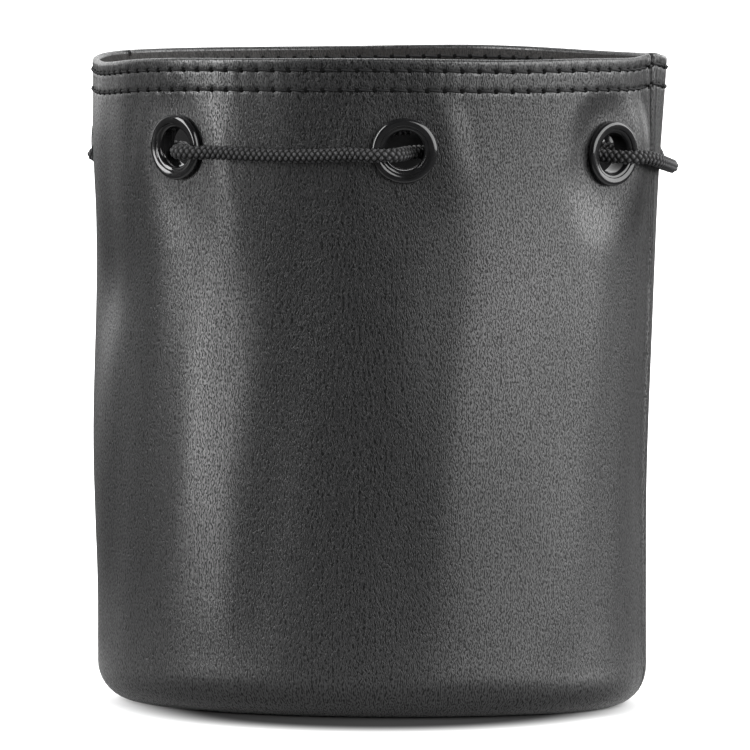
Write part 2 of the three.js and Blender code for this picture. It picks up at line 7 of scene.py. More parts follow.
import bmesh
import bpy
import numpy as np
from bpy.props import FloatProperty, FloatVectorProperty, IntProperty, PointerProperty
from bpy.types import Operator, Panel, PropertyGroup
from mathutils import Matrix, Quaternion, Vector


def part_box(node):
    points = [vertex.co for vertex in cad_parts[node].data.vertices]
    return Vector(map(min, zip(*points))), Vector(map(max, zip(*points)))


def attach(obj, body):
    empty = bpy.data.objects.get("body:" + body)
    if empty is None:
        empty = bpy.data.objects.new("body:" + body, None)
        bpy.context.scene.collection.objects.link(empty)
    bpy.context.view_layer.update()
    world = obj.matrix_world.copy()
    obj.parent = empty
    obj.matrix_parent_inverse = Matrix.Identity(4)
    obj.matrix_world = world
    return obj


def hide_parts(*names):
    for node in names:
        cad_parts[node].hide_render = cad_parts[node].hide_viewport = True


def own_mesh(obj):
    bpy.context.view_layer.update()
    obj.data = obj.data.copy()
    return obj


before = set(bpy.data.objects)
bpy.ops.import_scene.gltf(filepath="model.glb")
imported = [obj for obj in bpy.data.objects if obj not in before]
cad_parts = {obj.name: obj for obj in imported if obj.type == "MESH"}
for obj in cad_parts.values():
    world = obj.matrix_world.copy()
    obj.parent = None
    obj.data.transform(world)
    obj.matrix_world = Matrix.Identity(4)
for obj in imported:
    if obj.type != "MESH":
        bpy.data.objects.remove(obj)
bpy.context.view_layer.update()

bl_info = {
    "name": "Drawstring Valuables Pouch",
    "version": (1, 0, 0),
    "blender": (4, 5, 0),
    "location": "View3D > Sidebar > Pouch",
    "description": "Makes a leather drawstring pouch with eyelets, a braided cord and a cord lock",
    "category": "Add Mesh",
}

MM = 0.001
UV_SPAN = 0.5  # metres that the unit square of a UV map stands for
GAP = 0.3 * MM  # between pieces that touch
EYELETS = [f"eyelet_{i}" for i in range(1, 8)]


# Sizes and colours that a user would change

def length(name, description, millimetres):
    return FloatProperty(name=name, description=description, default=millimetres * MM, unit="LENGTH")


def angle(name, description, degrees):
    return FloatProperty(
        name=name, description=description, default=math.radians(degrees), subtype="ANGLE"
    )


def colour(name, description, value):
    return FloatVectorProperty(
        name=name, description=description, default=value, size=3, min=0, max=1, subtype="COLOR"
    )


class LeatherSettings(PropertyGroup):
    mouth_width: length("Mouth Width", "Outside of the rim from side to side", 134)
    mouth_depth: length("Mouth Depth", "Outside of the rim from front to rear", 114)
    foot_inset: length("Foot Inset", "How far the wall leans in below the rim", 2.1)
    lean_height: length("Lean Height", "Height over which the wall leans in", 55)
    edge_radius: length("Edge Radius", "Rounding of the lower edge", 9)
    thickness: length("Thickness", "Thickness of one layer of leather", 1.1)
    hem_depth: length("Hem Depth", "Turned-in band round the mouth", 11)
    hem_thickness: length("Hem Thickness", "Both layers of the hem and the lining's slot", 3.2)
    rim_thickness: length("Rim Thickness", "Thickness of the fold along the rim", 1.7)
    rim_taper: length("Rim Taper", "Depth over which the hem thins towards the rim", 9)
    seam_setback: length("Seam Setback", "How far the side seams lie behind the middle of the sides", 9)
    seam_width: length("Seam Width", "Half width of the groove along a side seam", 0.9)
    seam_depth: length("Seam Depth", "Depth of the groove along a side seam", 1.1)
    tint: colour("Leather", "Colour of the leather", (0.0052, 0.0052, 0.0054))
    grain_width: length("Grain Width", "Width of one pebble of the grain", 0.5)
    grain_length: length("Grain Length", "Length of one pebble of the grain", 0.85)
    grain_depth: length("Grain Depth", "Depth of the valleys between the pebbles", 0.044)


class StitchSettings(PropertyGroup):
    count: IntProperty(name="Stitches", description="Stitches in one row round the mouth", default=97, min=8)
    upper_drop: length("Upper Row", "Upper row below the rim", 2.7)
    lower_drop: length("Lower Row", "Lower row below the rim", 7.2)
    thread: length("Thread", "Diameter of the sewing thread", 0.58)
    dive: length("Dive", "How deep the thread's ends go into their holes", 0.55)
    groove: length("Groove", "How deep a row draws the leather in", 0.08)
    dimple: length("Dimple", "How deep each needle hole draws the leather in", 0.2)
    tint: colour("Thread Colour", "Colour of the sewing thread", (0.007, 0.007, 0.0073))


class EyeletSettings(PropertyGroup):
    bore: length("Bore", "Inside of the barrel", 9)
    flange: length("Flange", "Outside of the rolled flange", 15)
    rise: length("Flange Height", "Top of the flange above the leather", 1.8)
    washer: length("Washer", "Outside of the washer", 14.4)
    washer_depth: length("Washer Depth", "From the leather's outer face to the washer", 2.1)
    washer_thickness: length("Washer Thickness", "Thickness of the washer", 0.7)
    tint: colour("Enamel", "Colour of the enamel", (0.006, 0.006, 0.0063))


class CordSettings(PropertyGroup):
    diameter: length("Diameter", "Diameter of the drawstring", 3.35)
    strands: IntProperty(name="Strands", description="Strands that wind each way", default=4, min=2)
    lay: length("Lay", "From one crossing to the next along the cord", 1.4)
    relief: length("Relief", "Height of a strand where it lies on top", 0.6)
    drop: length("Drop", "Cord below the middle of an eyelet", 0.8)
    sag: length("Sag", "Further drop in the middle of an outer span", 1.3)
    front_sag: length("Front Sag", "Further drop in the middle of the front outer span", 0.7)
    right_sag: length("Right Sag", "Further drop in the middle of the right outer span", 4.3)
    right_bulge: length("Right Bulge", "How far the right outer span stands off the wall", 1.7)
    climb: length("Climb", "How far the cord rises inside towards the rear eyelet", 2.0)
    slack: length("Slack", "How far an inner span cuts its corner", 3)
    tint: colour("Cord Colour", "Colour of the yarn", (0.008, 0.008, 0.0083))


class LiningSettings(PropertyGroup):
    thickness: length("Thickness", "Thickness of the lining cloth", 0.4)
    tuck: length("Tuck", "Depth below the rim at which the lining ends inside the hem", 6)
    board: length("Board", "Thickness of the base board", 1.8)
    fold: length("Fold", "Height of the lining's soft folds", 0.45)
    tint: colour("Lining Colour", "Colour of the lining cloth", (0.0035, 0.0035, 0.0038))


class StageSettings(PropertyGroup):
    azimuth: angle("Azimuth", "Camera to the right of the front", 21.4)
    elevation: angle("Elevation", "Camera above the horizon", 3.3)
    distance: length("Distance", "From the camera to the point that it looks at", 3094)
    lens: FloatProperty(
        name="Lens", description="Focal length on a 36 mm sensor", default=640.6, unit="CAMERA"
    )
    aim_height: length("Aim Height", "Height of the point that the camera looks at", 75.6)
    aim_aside: length("Aim Aside", "How far to the right of the axis the camera looks", 0.8)


class PouchSettings(PropertyGroup):
    leather: PointerProperty(type=LeatherSettings)
    stitch: PointerProperty(type=StitchSettings)
    eyelet: PointerProperty(type=EyeletSettings)
    cord: PointerProperty(type=CordSettings)
    lining: PointerProperty(type=LiningSettings)
    stage: PointerProperty(type=StageSettings)


def settings():
    return bpy.context.scene.pouch


# Small helpers

def smoothstep(value, low, high):
    share = np.clip((value - low) / (high - low), 0, 1)
    return share * share * (3 - 2 * share)


def link(name, mesh):
    piece = bpy.data.objects.new(name, mesh)
    bpy.context.scene.collection.objects.link(piece)
    return piece


def bake(piece):
    """Puts the result of a piece's modifiers into its mesh."""
    evaluated = piece.evaluated_get(bpy.context.evaluated_depsgraph_get())
    mesh = bpy.data.meshes.new_from_object(evaluated)
    piece.modifiers.clear()
    piece.data = mesh
    return piece


def face_outwards(mesh):
    shape = bmesh.new()
    shape.from_mesh(mesh)
    if shape.calc_volume(signed=True) < 0:
        bmesh.ops.reverse_faces(shape, faces=shape.faces)
    shape.to_mesh(mesh)
    shape.free()


def dress(piece, material, crease=40):
    """Smooth shading up to a crease angle, and one material."""
    piece.data.materials.clear()
    piece.data.materials.append(material)
    piece.data.polygons.foreach_set("use_smooth", [True] * len(piece.data.polygons))
    piece.data.set_sharp_from_angle(angle=math.radians(crease))
    return piece


def stand_in(piece, node, body="pouch"):
    """Lets a piece ride on a body in place of a node of the frame, and hides that node."""
    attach(piece, body)
    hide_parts(node)


def mesh_of(shape, name):
    """Turns a bmesh into a mesh, and frees it."""
    mesh = bpy.data.meshes.new(name)
    shape.to_mesh(mesh)
    shape.free()
    return mesh


def surface_at(along, across):
    """Places of a UV map in metres: one for each row, and one for each point of a row."""
    return np.stack(np.broadcast_arrays(along[:, None], across[None]), -1)


def grid_piece(name, points, surface):
    """A mesh from rows of closed loops with a cap at both ends, and its UV map."""
    rows, columns = points.shape[:2]
    around = [(j, (j + 1) % columns) for j in range(columns)]
    corners = np.array(
        [[(i, j), (i + 1, j), (i + 1, m), (i, m)] for i in range(rows - 1) for j, m in around]
    )
    faces = (corners[..., 0] * columns + corners[..., 1]).tolist()
    last = (rows - 1) * columns
    ends = [list(range(columns)), list(range(last, last + columns))[::-1]]
    mesh = bpy.data.meshes.new(name)
    mesh.from_pydata(points.reshape(-1, 3).tolist(), [], faces + ends)
    layer = mesh.uv_layers.new(name="Surface")
    index = np.zeros(len(mesh.loops), dtype=np.int64)
    mesh.loops.foreach_get("vertex_index", index)
    values = surface.reshape(-1, 2)[index] / UV_SPAN
    strip = np.arange(rows - 1) * columns + columns - 1  # the faces that close the loops
    closing = (strip[:, None] * 4 + np.array([2, 3])).ravel()
    before = closing // 4 * 4 + (closing % 4 == 2)
    values[closing] = values[before]
    values[closing, 1] += np.linalg.norm(points[:, 0] - points[:, -1], axis=-1).mean() / UV_SPAN
    layer.data.foreach_set("uv", values.astype(np.float32).ravel())
    face_outwards(mesh)
    return link(name, mesh)


ON_AXIS = 1e-7  # a smaller radius counts as a point of the axis


def lathe(name, profile, sides, matrix):
    """A profile of (radius, height) turned about Z, closed on itself or on the axis, then placed."""
    angles = np.linspace(0, 2 * math.pi, sides, endpoint=False)
    shape = bmesh.new()
    rings = []
    for radius, height in profile:
        if radius < ON_AXIS:
            rings.append([shape.verts.new((0, 0, height))] * sides)
        else:
            ring = [(radius * math.cos(a), radius * math.sin(a), height) for a in angles]
            rings.append([shape.verts.new(corner) for corner in ring])
    closing = [] if profile[0][0] < ON_AXIS else rings[:1]
    for first, second in zip(rings, rings[1:] + closing):
        for i in range(sides):
            n = (i + 1) % sides
            corners = [first[i], first[n], second[n], second[i]]
            shape.faces.new(list(dict.fromkeys(corners)))
    bmesh.ops.recalc_face_normals(shape, faces=shape.faces)
    if shape.calc_volume(signed=True) < 0:
        bmesh.ops.reverse_faces(shape, faces=shape.faces)
    mesh = mesh_of(shape, name)
    mesh.transform(matrix)
    return link(name, mesh)


def cut(piece, cutter):
    modifier = piece.modifiers.new("Holes", "BOOLEAN")
    modifier.object = cutter
    modifier.operation = "DIFFERENCE"
    modifier.solver = "MANIFOLD"
    bake(piece)
    bpy.data.objects.remove(cutter)
    return piece


def arc(centre, radius, start, end, count):
    """Points (across, up) of a circular arc, with angles in degrees from straight across."""
    angles = np.radians(np.linspace(start, end, count))
    return [(centre[0] + radius * math.cos(a), centre[1] + radius * math.sin(a)) for a in angles]


# The wall of the bag

class Seat:
    """Where an eyelet sits: the middle of its flat seat on the leather's outer face, read from the frame."""

    def __init__(self, node, rise):
        points = np.array([v.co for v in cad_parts[node].data.vertices], float)
        centre = points.mean(0)
        normal = np.linalg.eigh(np.cov((points - centre).T))[1][:, 0]
        if normal[:2] @ centre[:2] < 0:
            normal = -normal
        top = ((points - centre) @ normal).max()
        self.centre = centre + normal * (top - rise)
        self.normal = normal
        across = normal[:2] / np.linalg.norm(normal[:2])
        self.tangent = np.array([across[1], -across[0], 0.0])
        self.along = 0.0

    def matrix(self):
        """Turns +Z to the seat's normal and places the origin on the seat."""
        side = Vector(self.tangent)
        normal = Vector(self.normal)
        turned = Matrix((side, normal.cross(side), normal)).transposed().to_4x4()
        return Matrix.Translation(Vector(self.centre)) @ turned

    def beside(self, along, out, down):
        return self.centre + self.tangent * along + self.normal * out - np.array([0, 0, down])


# Soft swells and hollows of the wall: place along the rim and height of the middle, spreads along
# and up, and how far out, all in millimetres
SWELLS = [
    (255, 97, 9, 13, -1.2),
    (262, 60, 12, 20, 0.7),
    (262, 26, 9, 9, -0.5),
    (264, 150, 18, 13, -1.7),
    (267, 66, 20, 36, 0.6),
    (72, 122, 12, 16, -0.4),
    (244, 118, 7, 20, 0.5),
    (222, 40, 14, 30, 0.7),
    (208, 118, 7, 22, 0.7),
    (192, 75, 15, 40, -0.6),
    (150, 60, 16, 32, 0.6),
    (128, 95, 14, 26, 0.5),
    (100, 120, 10, 18, 0.4),
    (96, 50, 10, 24, -0.4),
    (20, 70, 18, 34, 0.6),
    (335, 80, 16, 30, 0.5),
    (300, 50, 15, 26, -0.5),
    (50, 45, 15, 30, 0.5),
]

# The same for the rim's height: place, spread and rise
RIM_SWELLS = [
    (92, 7, 1.0), (72, 12, -0.1), (262, 22, -1.6), (48, 18, -0.15), (4, 26, 0.6),
    (360, 30, -0.05), (215, 30, 0.4), (172, 34, 0.9), (120, 16, 0.35),
]
LIFT_START = 122 * MM  # height at which the rim's rise and dip begin to fade in
LIFT_FULL = 146 * MM

# Fine ripples all round: how far out in millimetres, waves round the bag with their slant and
# phase, and how they come and go with the height
RIPPLES = [(0.16, 9, 2.2, 0.7, 3.1, 0.4), (0.12, 14, -3.7, 2.1, 6.3, 1.7), (0.07, 23, 8.3, 4.0, 0, 0)]

# Places, spreads and amounts in millimetres
SHOULDER = (73, 22, 2.9)  # the wall stands out at the right, more and more up to the hem
FOOT_SWELL = (112, 22, 0.75)  # the rounded foot fills out at the right of the front
SEAM_DRIFT = (13, 5.5)  # spread and amount by which the right side seam leans forwards at the rim
SEAM_RIDGES = [(2.2, 1.0, -0.3), (7.2, 1.2, 0.08)]  # beside a seam: distance, spread and how far in

RIM_SAMPLES = 2881
SEAT_MARGIN = 0.5 * MM  # leather that lies flat beyond an eyelet's flange
SEAT_BLEND = 9 * MM  # and how far it takes to follow the wall again
BLEND_BELOW = 0.7  # further share of that below the eyelet
GROOVE_WIDTH = 0.55 * MM  # spread of the groove along a row of stitches
HOLE_WIDTH = 0.42 * MM  # spread of the dimple at a needle hole
PUCKER = 0.035 * MM  # ripple of the leather from hole to hole
PUCKER_WIDTH = 1.9 * MM


class Wall:
    """The bag's wall. A place is an arc length along the rim, from the middle of the rear round by +X."""

    def __init__(self):
        leather, eyelet = settings().leather, settings().eyelet
        self.leather = leather
        self.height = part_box("front_panel")[1].z
        self.half = np.array([leather.mouth_width / 2, leather.mouth_depth / 2])
        self.angles = np.linspace(0, 2 * math.pi, RIM_SAMPLES)
        rim = np.stack([self.half[0] * np.sin(self.angles), self.half[1] * np.cos(self.angles)], 1)
        steps = np.linalg.norm(np.diff(rim, axis=0), axis=1)
        self.lengths = np.concatenate([[0], np.cumsum(steps)])
        self.length = self.lengths[-1]
        self.seat_half = eyelet.flange / 2 + SEAT_MARGIN
        self.seats = [Seat(node, eyelet.rise) for node in EYELETS]
        for seat in self.seats:
            nearest = np.linalg.norm(rim[:-1] - seat.centre[:2], axis=1).argmin()
            seat.along = self.lengths[nearest]
        quarter = self.length / 4
        self.seams = [quarter - leather.seam_setback, 3 * quarter + leather.seam_setback]

    def spans(self, near):
        """Where the front and the rear piece start and end, so near to the side seams."""
        first, second = self.seams
        return {
            "front": (first + near, second - near),
            "rear": (second + near, first + self.length - near),
        }

    def rim(self, along):
        angle = np.interp(np.mod(along, self.length), self.lengths, self.angles)
        point = np.stack([self.half[0] * np.sin(angle), self.half[1] * np.cos(angle)], -1)
        outward = np.stack([self.half[1] * np.sin(angle), self.half[0] * np.cos(angle)], -1)
        return point, outward / np.linalg.norm(outward, axis=-1, keepdims=True)

    def from_to(self, start, end):
        return np.mod(end - start + self.length / 2, self.length) - self.length / 2

    def lean(self, height):
        share = np.clip((self.height - height) / self.leather.lean_height, 0, 1)
        return self.leather.foot_inset * np.sin(math.pi / 2 * share)

    def bell(self, place, spread, along):
        """1 at a place along the rim, fading out on both sides. Place and spread are millimetres."""
        aside = self.from_to(place * MM, along) / (spread * MM)
        return np.exp(-aside * aside)

    def soft(self, along, height):
        """How far the wall stands out of its plain form."""
        out = np.zeros(np.broadcast(along, height).shape)
        for place, middle, spread, rise, amount in SWELLS:
            above = (height - middle * MM) / (rise * MM)
            out += amount * MM * self.bell(place, spread, along) * np.exp(-above * above)
        turn = 2 * math.pi * along / self.length
        up = height / self.height
        for amount, waves, slant, phase, beat, shift in RIPPLES:
            out += amount * MM * np.sin(waves * turn + slant * up + phase) * np.cos(beat * up + shift)
        place, spread, amount = SHOULDER
        out += amount * MM * self.bell(place, spread, along) * smoothstep(height, 40 * MM, 132 * MM)
        return out * smoothstep(height, 4 * MM, 24 * MM)

    def fuller(self, along):
        """How far the rounded foot fills out."""
        place, spread, amount = FOOT_SWELL
        return amount * MM * self.bell(place, spread, along)

    def lift(self, along, height):
        """How far the rim rises or dips out of its plane, fading out below the hem."""
        rise = sum(amount * MM * self.bell(place, spread, along) for place, spread, amount in RIM_SWELLS)
        return rise * smoothstep(height, LIFT_START, LIFT_FULL)

    def inset(self, along, height, depth=0.0):
        """How far in from the rim a layer stands at a place, with the flat seats of the eyelets."""
        point, outward = self.rim(along)
        inset = self.lean(height) - self.soft(along, height) + depth
        for seat in self.seats:
            above = height - seat.centre[2]
            away = np.hypot(self.from_to(seat.along, along), above)
            below = np.maximum(-above, 0) / np.maximum(away, 0.1 * MM)
            blend = SEAT_BLEND * (1 + BLEND_BELOW * below)
            pull = 1 - smoothstep(away, self.seat_half, self.seat_half + blend)
            reach = (point - seat.centre[:2]) @ seat.normal[:2]
            facing = outward @ seat.normal[:2]
            flat = (reach + above * seat.normal[2] + depth) / facing
            inset = np.where(pull > 0, inset + (flat - inset) * pull, inset)
        return inset

    def point(self, along, height, depth=0.0, extra=0.0, up=None):
        """A point so deep inside the outer face. extra is added to the inset, and up moves it in height."""
        spread, drift = SEAM_DRIFT
        near_seam = self.bell(self.seams[0] / MM, spread, along)
        along = along + drift * MM * near_seam * smoothstep(height, 95 * MM, 150 * MM)
        rim, outward = self.rim(along)
        inset = self.inset(along, height, depth) + extra
        flat = rim - outward * inset[..., None]
        level = np.broadcast_to(height if up is None else up, inset.shape) + self.lift(along, height)
        return np.concatenate([flat, level[..., None]], -1)

    def stitch_pitch(self):
        return self.length / settings().stitch.count

    def stitch_relief(self, along, height):
        """How far the two rows of stitches draw the leather in, with a dimple at each needle hole."""
        stitch = settings().stitch
        pitch = self.stitch_pitch()
        to_hole = (np.mod(along / pitch + 0.5, 1) - 0.5) * pitch
        ripple = np.cos(2 * math.pi * to_hole / pitch)
        drawn = np.zeros(np.broadcast(along, height).shape)
        for drop in (stitch.upper_drop, stitch.lower_drop):
            away = height - (self.height - drop)
            drawn += stitch.groove * np.exp(-((away / GROOVE_WIDTH) ** 2))
            drawn += stitch.dimple * np.exp(-(to_hole**2 + away**2) / HOLE_WIDTH**2)
            drawn += PUCKER * ripple * np.exp(-((away / PUCKER_WIDTH) ** 2))
        return drawn

    def seam_relief(self, along):
        """How far the side seams draw the leather in."""
        leather = self.leather
        drawn = np.zeros(np.shape(along))
        for seam in self.seams:
            away = np.abs(self.from_to(seam, along))
            drawn += leather.seam_depth * np.exp(-((away / leather.seam_width) ** 1.5))
            for distance, spread, amount in SEAM_RIDGES:
                drawn += amount * MM * np.exp(-(((away - distance * MM) / (spread * MM)) ** 2))
        return drawn


# Leather

STITCHED_BAND = 12.5 * MM  # below the rim, with the closest rows
EYELET_BAND = 34 * MM  # below the rim, with closer rows than the rest
ROW_STEPS = (0.42 * MM, 1.0 * MM, 2.2 * MM)  # between the rows of the three stretches
PLACES_PER_STITCH = 8
HEM_ROUNDING = 0.4 * MM  # of the hem's lower edge
EDGE_SEAM = 0.55  # share of a side seam's depth that is left on the rim and on the foot
DRILL_CLEARANCE = 0.8 * MM  # between an eyelet's bore and the cut through the layers


class Row:
    """One row of a wall's profile: a layer's depth at a height, or a point of the rounded foot."""

    def __init__(self, height, depth, face="", extra=0.0, up=None, corner=0.0):
        self.height, self.depth, self.face, self.extra, self.up = height, depth, face, extra, up
        self.corner = corner


def steps(start, end, size):
    count = max(1, round(abs(end - start) / size))
    return list(np.linspace(start, end, count + 1))[1:]


def foot_row(leather, depth, degrees, face):
    """A row of the rounded lower edge, by its angle below the wall."""
    radius = leather.edge_radius - depth
    angle = math.radians(degrees)
    inward = leather.edge_radius - radius * math.cos(angle)
    up = leather.edge_radius - radius * math.sin(angle)
    return Row(leather.edge_radius, 0.0, face, inward, up, math.sin(2 * angle))


def leather_rows(wall):
    """From the inside of the rim over it, down the outside, round the foot and up the inside again."""
    leather, lining = wall.leather, settings().lining
    thick, hem = leather.thickness, leather.hem_thickness
    roll = leather.rim_thickness / 2
    top = wall.height - roll
    hem_foot = wall.height - leather.hem_depth
    rows = [Row(up, depth, "roll") for depth, up in arc((roll, top), roll, 0, 180, 11)]
    ends = [wall.height - STITCHED_BAND, wall.height - EYELET_BAND, leather.edge_radius]
    for start, end, step in zip([top] + ends, ends, ROW_STEPS):
        rows += [Row(z, 0.0, "outer") for z in steps(start, end, step)]
    rows += [foot_row(leather, 0.0, degrees, "foot") for degrees in range(9, 91, 9)]
    turn_up = leather.edge_radius + thick / 2
    seam_top = thick + GAP + lining.board
    for extra, up in ((turn_up, thick / 2), (turn_up, seam_top), (turn_up - thick, seam_top)):
        rows.append(Row(leather.edge_radius, 0.0, "base", extra, up))
    rows += [foot_row(leather, thick, degrees, "back") for degrees in (74, 56, 38, 20)]
    rows += [Row(z, thick, "back") for z in steps(leather.edge_radius, hem_foot, 9 * MM)]
    slot_top = wall.height - lining.tuck + GAP
    slot_depth = GAP + lining.thickness + GAP
    rows += [
        Row(slot_top, thick, "back"),
        Row(slot_top, thick + slot_depth, "back"),
        Row(hem_foot, thick + slot_depth, "back"),
        Row(hem_foot, hem - HEM_ROUNDING, "inner"),
        Row(hem_foot + HEM_ROUNDING, hem - HEM_ROUNDING / 4, "inner"),
    ]
    full = wall.height - leather.rim_taper
    rows += [Row(z, hem, "inner") for z in steps(hem_foot + HEM_ROUNDING, full, 0.5 * MM)]
    for z in steps(full, top, 0.5 * MM)[:-1]:
        thinner = (hem - leather.rim_thickness) * float(smoothstep(z, full, top))
        rows.append(Row(z, hem - thinner, "inner"))
    return rows


def panel_places(wall, start, end):
    """Places along the rim at an even share of a stitch, closer together at both ends."""
    step = wall.stitch_pitch() / PLACES_PER_STITCH
    edge = [0.0, 0.12 * MM, 0.3 * MM]
    even = [n * step for n in range(math.ceil(start / step), math.floor(end / step) + 1)]
    inner = [place for place in even if start + 0.5 * MM < place < end - 0.5 * MM]
    return np.array([start + e for e in edge] + inner + [end - e for e in reversed(edge)])


def wall_point(wall, row, along):
    """The points of one row, with the stitches, the side seams and the filled-out foot."""
    height = np.full(along.shape, row.height)
    up = None if row.up is None else np.full(along.shape, row.up)
    drawn = np.zeros(along.shape)
    if row.face == "outer":
        drawn = wall.seam_relief(along) + wall.stitch_relief(along, height)
    elif row.face in ("roll", "foot"):
        drawn = wall.seam_relief(along) * EDGE_SEAM
    elif row.face == "inner":
        drawn = -wall.stitch_relief(along, height)
    if row.corner:
        fuller = wall.fuller(along) * row.corner
        drawn, up = drawn - fuller, np.maximum(up - fuller, 0)
    return wall.point(along, height, row.depth, row.extra + drawn, up)


def profile_lengths(wall, rows, along):
    """How far along the profile each row lies, measured at one place."""
    points = np.array([wall_point(wall, row, np.array([along]))[0] for row in rows])
    return np.concatenate([[0], np.cumsum(np.linalg.norm(np.diff(points, axis=0), axis=1))])


def leather_panel(name, wall, start, end):
    rows = leather_rows(wall)
    along = panel_places(wall, start, end)
    points = np.stack([wall_point(wall, row, along) for row in rows], 1)
    surface = surface_at(along, profile_lengths(wall, rows, (start + end) / 2))
    return cut(grid_piece(name, points, surface), eyelet_drills(wall))


def eyelet_drills(wall):
    """The cutters for the eyelet holes, as one object."""
    radius = settings().eyelet.bore / 2 + DRILL_CLEARANCE
    shape = bmesh.new()
    for seat in wall.seats:
        bmesh.ops.create_cone(
            shape, cap_ends=True, segments=40, radius1=radius, radius2=radius, depth=20 * MM,
            matrix=seat.matrix(),
        )
    return link("drills", mesh_of(shape, "drills"))


def oval_plate(name, wall, rings):
    """A plate that fills the oval: rings of (inset, height, share) from its upper middle out and
    round to its lower middle. A share below 1 draws a ring in towards the middle."""
    along = np.linspace(0, wall.length, 160, endpoint=False)
    rim, outward = wall.rim(along)
    loops = []
    for inset, height, share in rings:
        flat = (rim - outward * inset) * share
        loops.append(np.concatenate([flat, np.full((len(along), 1), height)], 1))
    points = np.stack(loops, 0)
    return grid_piece(name, points, points[..., :2] + UV_SPAN / 2)


def base_rings(wall):
    """The leather base with its turned-up edge, and a slight hollow under its middle."""
    leather = wall.leather
    thick = leather.thickness
    edge = wall.lean(0.0) + leather.edge_radius + thick / 2 + GAP / 3
    top = thick + GAP + settings().lining.board
    return [
        (edge + 22 * MM, thick, 0.5), (edge + thick, thick, 1), (edge + thick, top, 1), (edge, top, 1),
        (edge, thick * 0.7, 1), (edge + thick * 0.1, thick * 0.28, 1), (edge + thick * 0.5, 0, 1),
        (edge + 3 * MM, 0.0, 1), (edge + 10 * MM, 0.1 * MM, 1), (edge + 22 * MM, 0.2 * MM, 0.5),
    ]


# Node trees

FLOAT = "NodeSocketFloat"
INTEGER = "NodeSocketInt"
VECTOR = "NodeSocketVector"
GEOMETRY = "NodeSocketGeometry"
MATERIAL = "NodeSocketMaterial"


class Nodes:
    """Adds nodes to a tree and links them."""

    def __init__(self, tree):
        self.tree = tree

    def fill(self, node, inputs):
        """Links each input that is given a socket, and sets each one that is given a value."""
        for key, value in inputs.items():
            if isinstance(value, bpy.types.NodeSocket):
                self.tree.links.new(value, node.inputs[key])
            else:
                node.inputs[key].default_value = value
        return node

    def add(self, kind, inputs=None, **options):
        node = self.tree.nodes.new(kind)
        for key, value in options.items():
            setattr(node, key, value)
        return self.fill(node, inputs or {})

    def output(self, kind, inputs=None, **options):
        """The first output of a new node."""
        return self.add(kind, inputs, **options).outputs[0]

    def math(self, operation, *values):
        return self.output("ShaderNodeMath", dict(enumerate(values)), operation=operation)

    def vector(self, operation, *values):
        return self.output("ShaderNodeVectorMath", dict(enumerate(values)), operation=operation)

    def number(self, operation, *values):
        """A vector operation whose result is a number."""
        node = self.add("ShaderNodeVectorMath", dict(enumerate(values)), operation=operation)
        return node.outputs["Value"]

    def scaled(self, vector, scale):
        return self.output("ShaderNodeVectorMath", {0: vector, "Scale": scale}, operation="SCALE")

    def xyz(self, **parts):
        return self.output("ShaderNodeCombineXYZ", parts)

    def parts(self, vector):
        return self.add("ShaderNodeSeparateXYZ", {0: vector}).outputs

    def noise(self, place, scale, detail, roughness=0.5, dimensions="3D"):
        inputs = {"Vector": place, "Scale": scale, "Detail": detail, "Roughness": roughness}
        return self.add("ShaderNodeTexNoise", inputs, noise_dimensions=dimensions).outputs

    def ramp(self, value, low, high, to_low=0.0, to_high=1.0, kind="SMOOTHSTEP"):
        inputs = {"Value": value, "From Min": low, "From Max": high, "To Min": to_low, "To Max": to_high}
        return self.output("ShaderNodeMapRange", inputs, interpolation_type=kind)

    def mix(self, share, first, second):
        """A mix of two colours, which are the sockets 6 and 7."""
        inputs = {0: share, 6: first, 7: second}
        return self.add("ShaderNodeMix", inputs, data_type="RGBA").outputs[2]

    def bump(self, height, distance):
        return self.output("ShaderNodeBump", {"Height": height, "Distance": distance})


def new_tree(kind, name, inputs, outputs):
    """An empty tree with its sockets, given as (name, type, default) and (name, type)."""
    tree = bpy.data.node_groups.new(name, kind)
    for label, socket_type, default in inputs:
        socket = tree.interface.new_socket(label, in_out="INPUT", socket_type=socket_type)
        if default is not None:
            socket.default_value = default
    for label, socket_type in outputs:
        tree.interface.new_socket(label, in_out="OUTPUT", socket_type=socket_type)
    given = tree.nodes.new("NodeGroupInput").outputs
    return tree, Nodes(tree), given, tree.nodes.new("NodeGroupOutput")


def shared(name, build):
    """The node tree of this name, which build makes the first time."""
    return bpy.data.node_groups.get(name) or build(name)


# Materials

def grain_group(name):
    """Leather grain: pebbles in wavy rows up the hide, broken by gaps, over slow unevenness."""
    group, nodes, given, result = new_tree(
        "ShaderNodeTree", name,
        [("Place", VECTOR, None), ("Width", FLOAT, 0.5), ("Length", FLOAT, 0.85)],
        [("Height", FLOAT), ("Pebble", FLOAT)],
    )
    slow = nodes.noise(given["Place"], 0.05, 2.0)
    fine = nodes.noise(given["Place"], 0.4, 1.0)
    bent = nodes.vector("ADD", given["Place"], nodes.scaled(fine["Color"], 0.45))
    size = nodes.xyz(X=given["Width"], Y=given["Length"], Z=1.0)
    hide = nodes.vector("DIVIDE", bent, size)
    sway = nodes.noise(hide, 0.6, 1.0, roughness=0.4, dimensions="2D")
    gaps = nodes.noise(hide, 1.3, 0.0, dimensions="2D")
    phase = nodes.math("ADD", nodes.parts(hide)["X"], nodes.math("MULTIPLY", sway["Fac"], 2.2))
    wave = nodes.math("SINE", nodes.math("MULTIPLY", phase, 2 * math.pi))
    broken = nodes.math("ADD", nodes.math("MULTIPLY", wave, 0.3), gaps["Fac"])
    pebble = nodes.ramp(broken, 0.1, 0.78)
    height = nodes.math("ADD", pebble, nodes.math("MULTIPLY", slow["Fac"], 0.2))
    nodes.fill(result, {"Height": height, "Pebble": pebble})
    return group


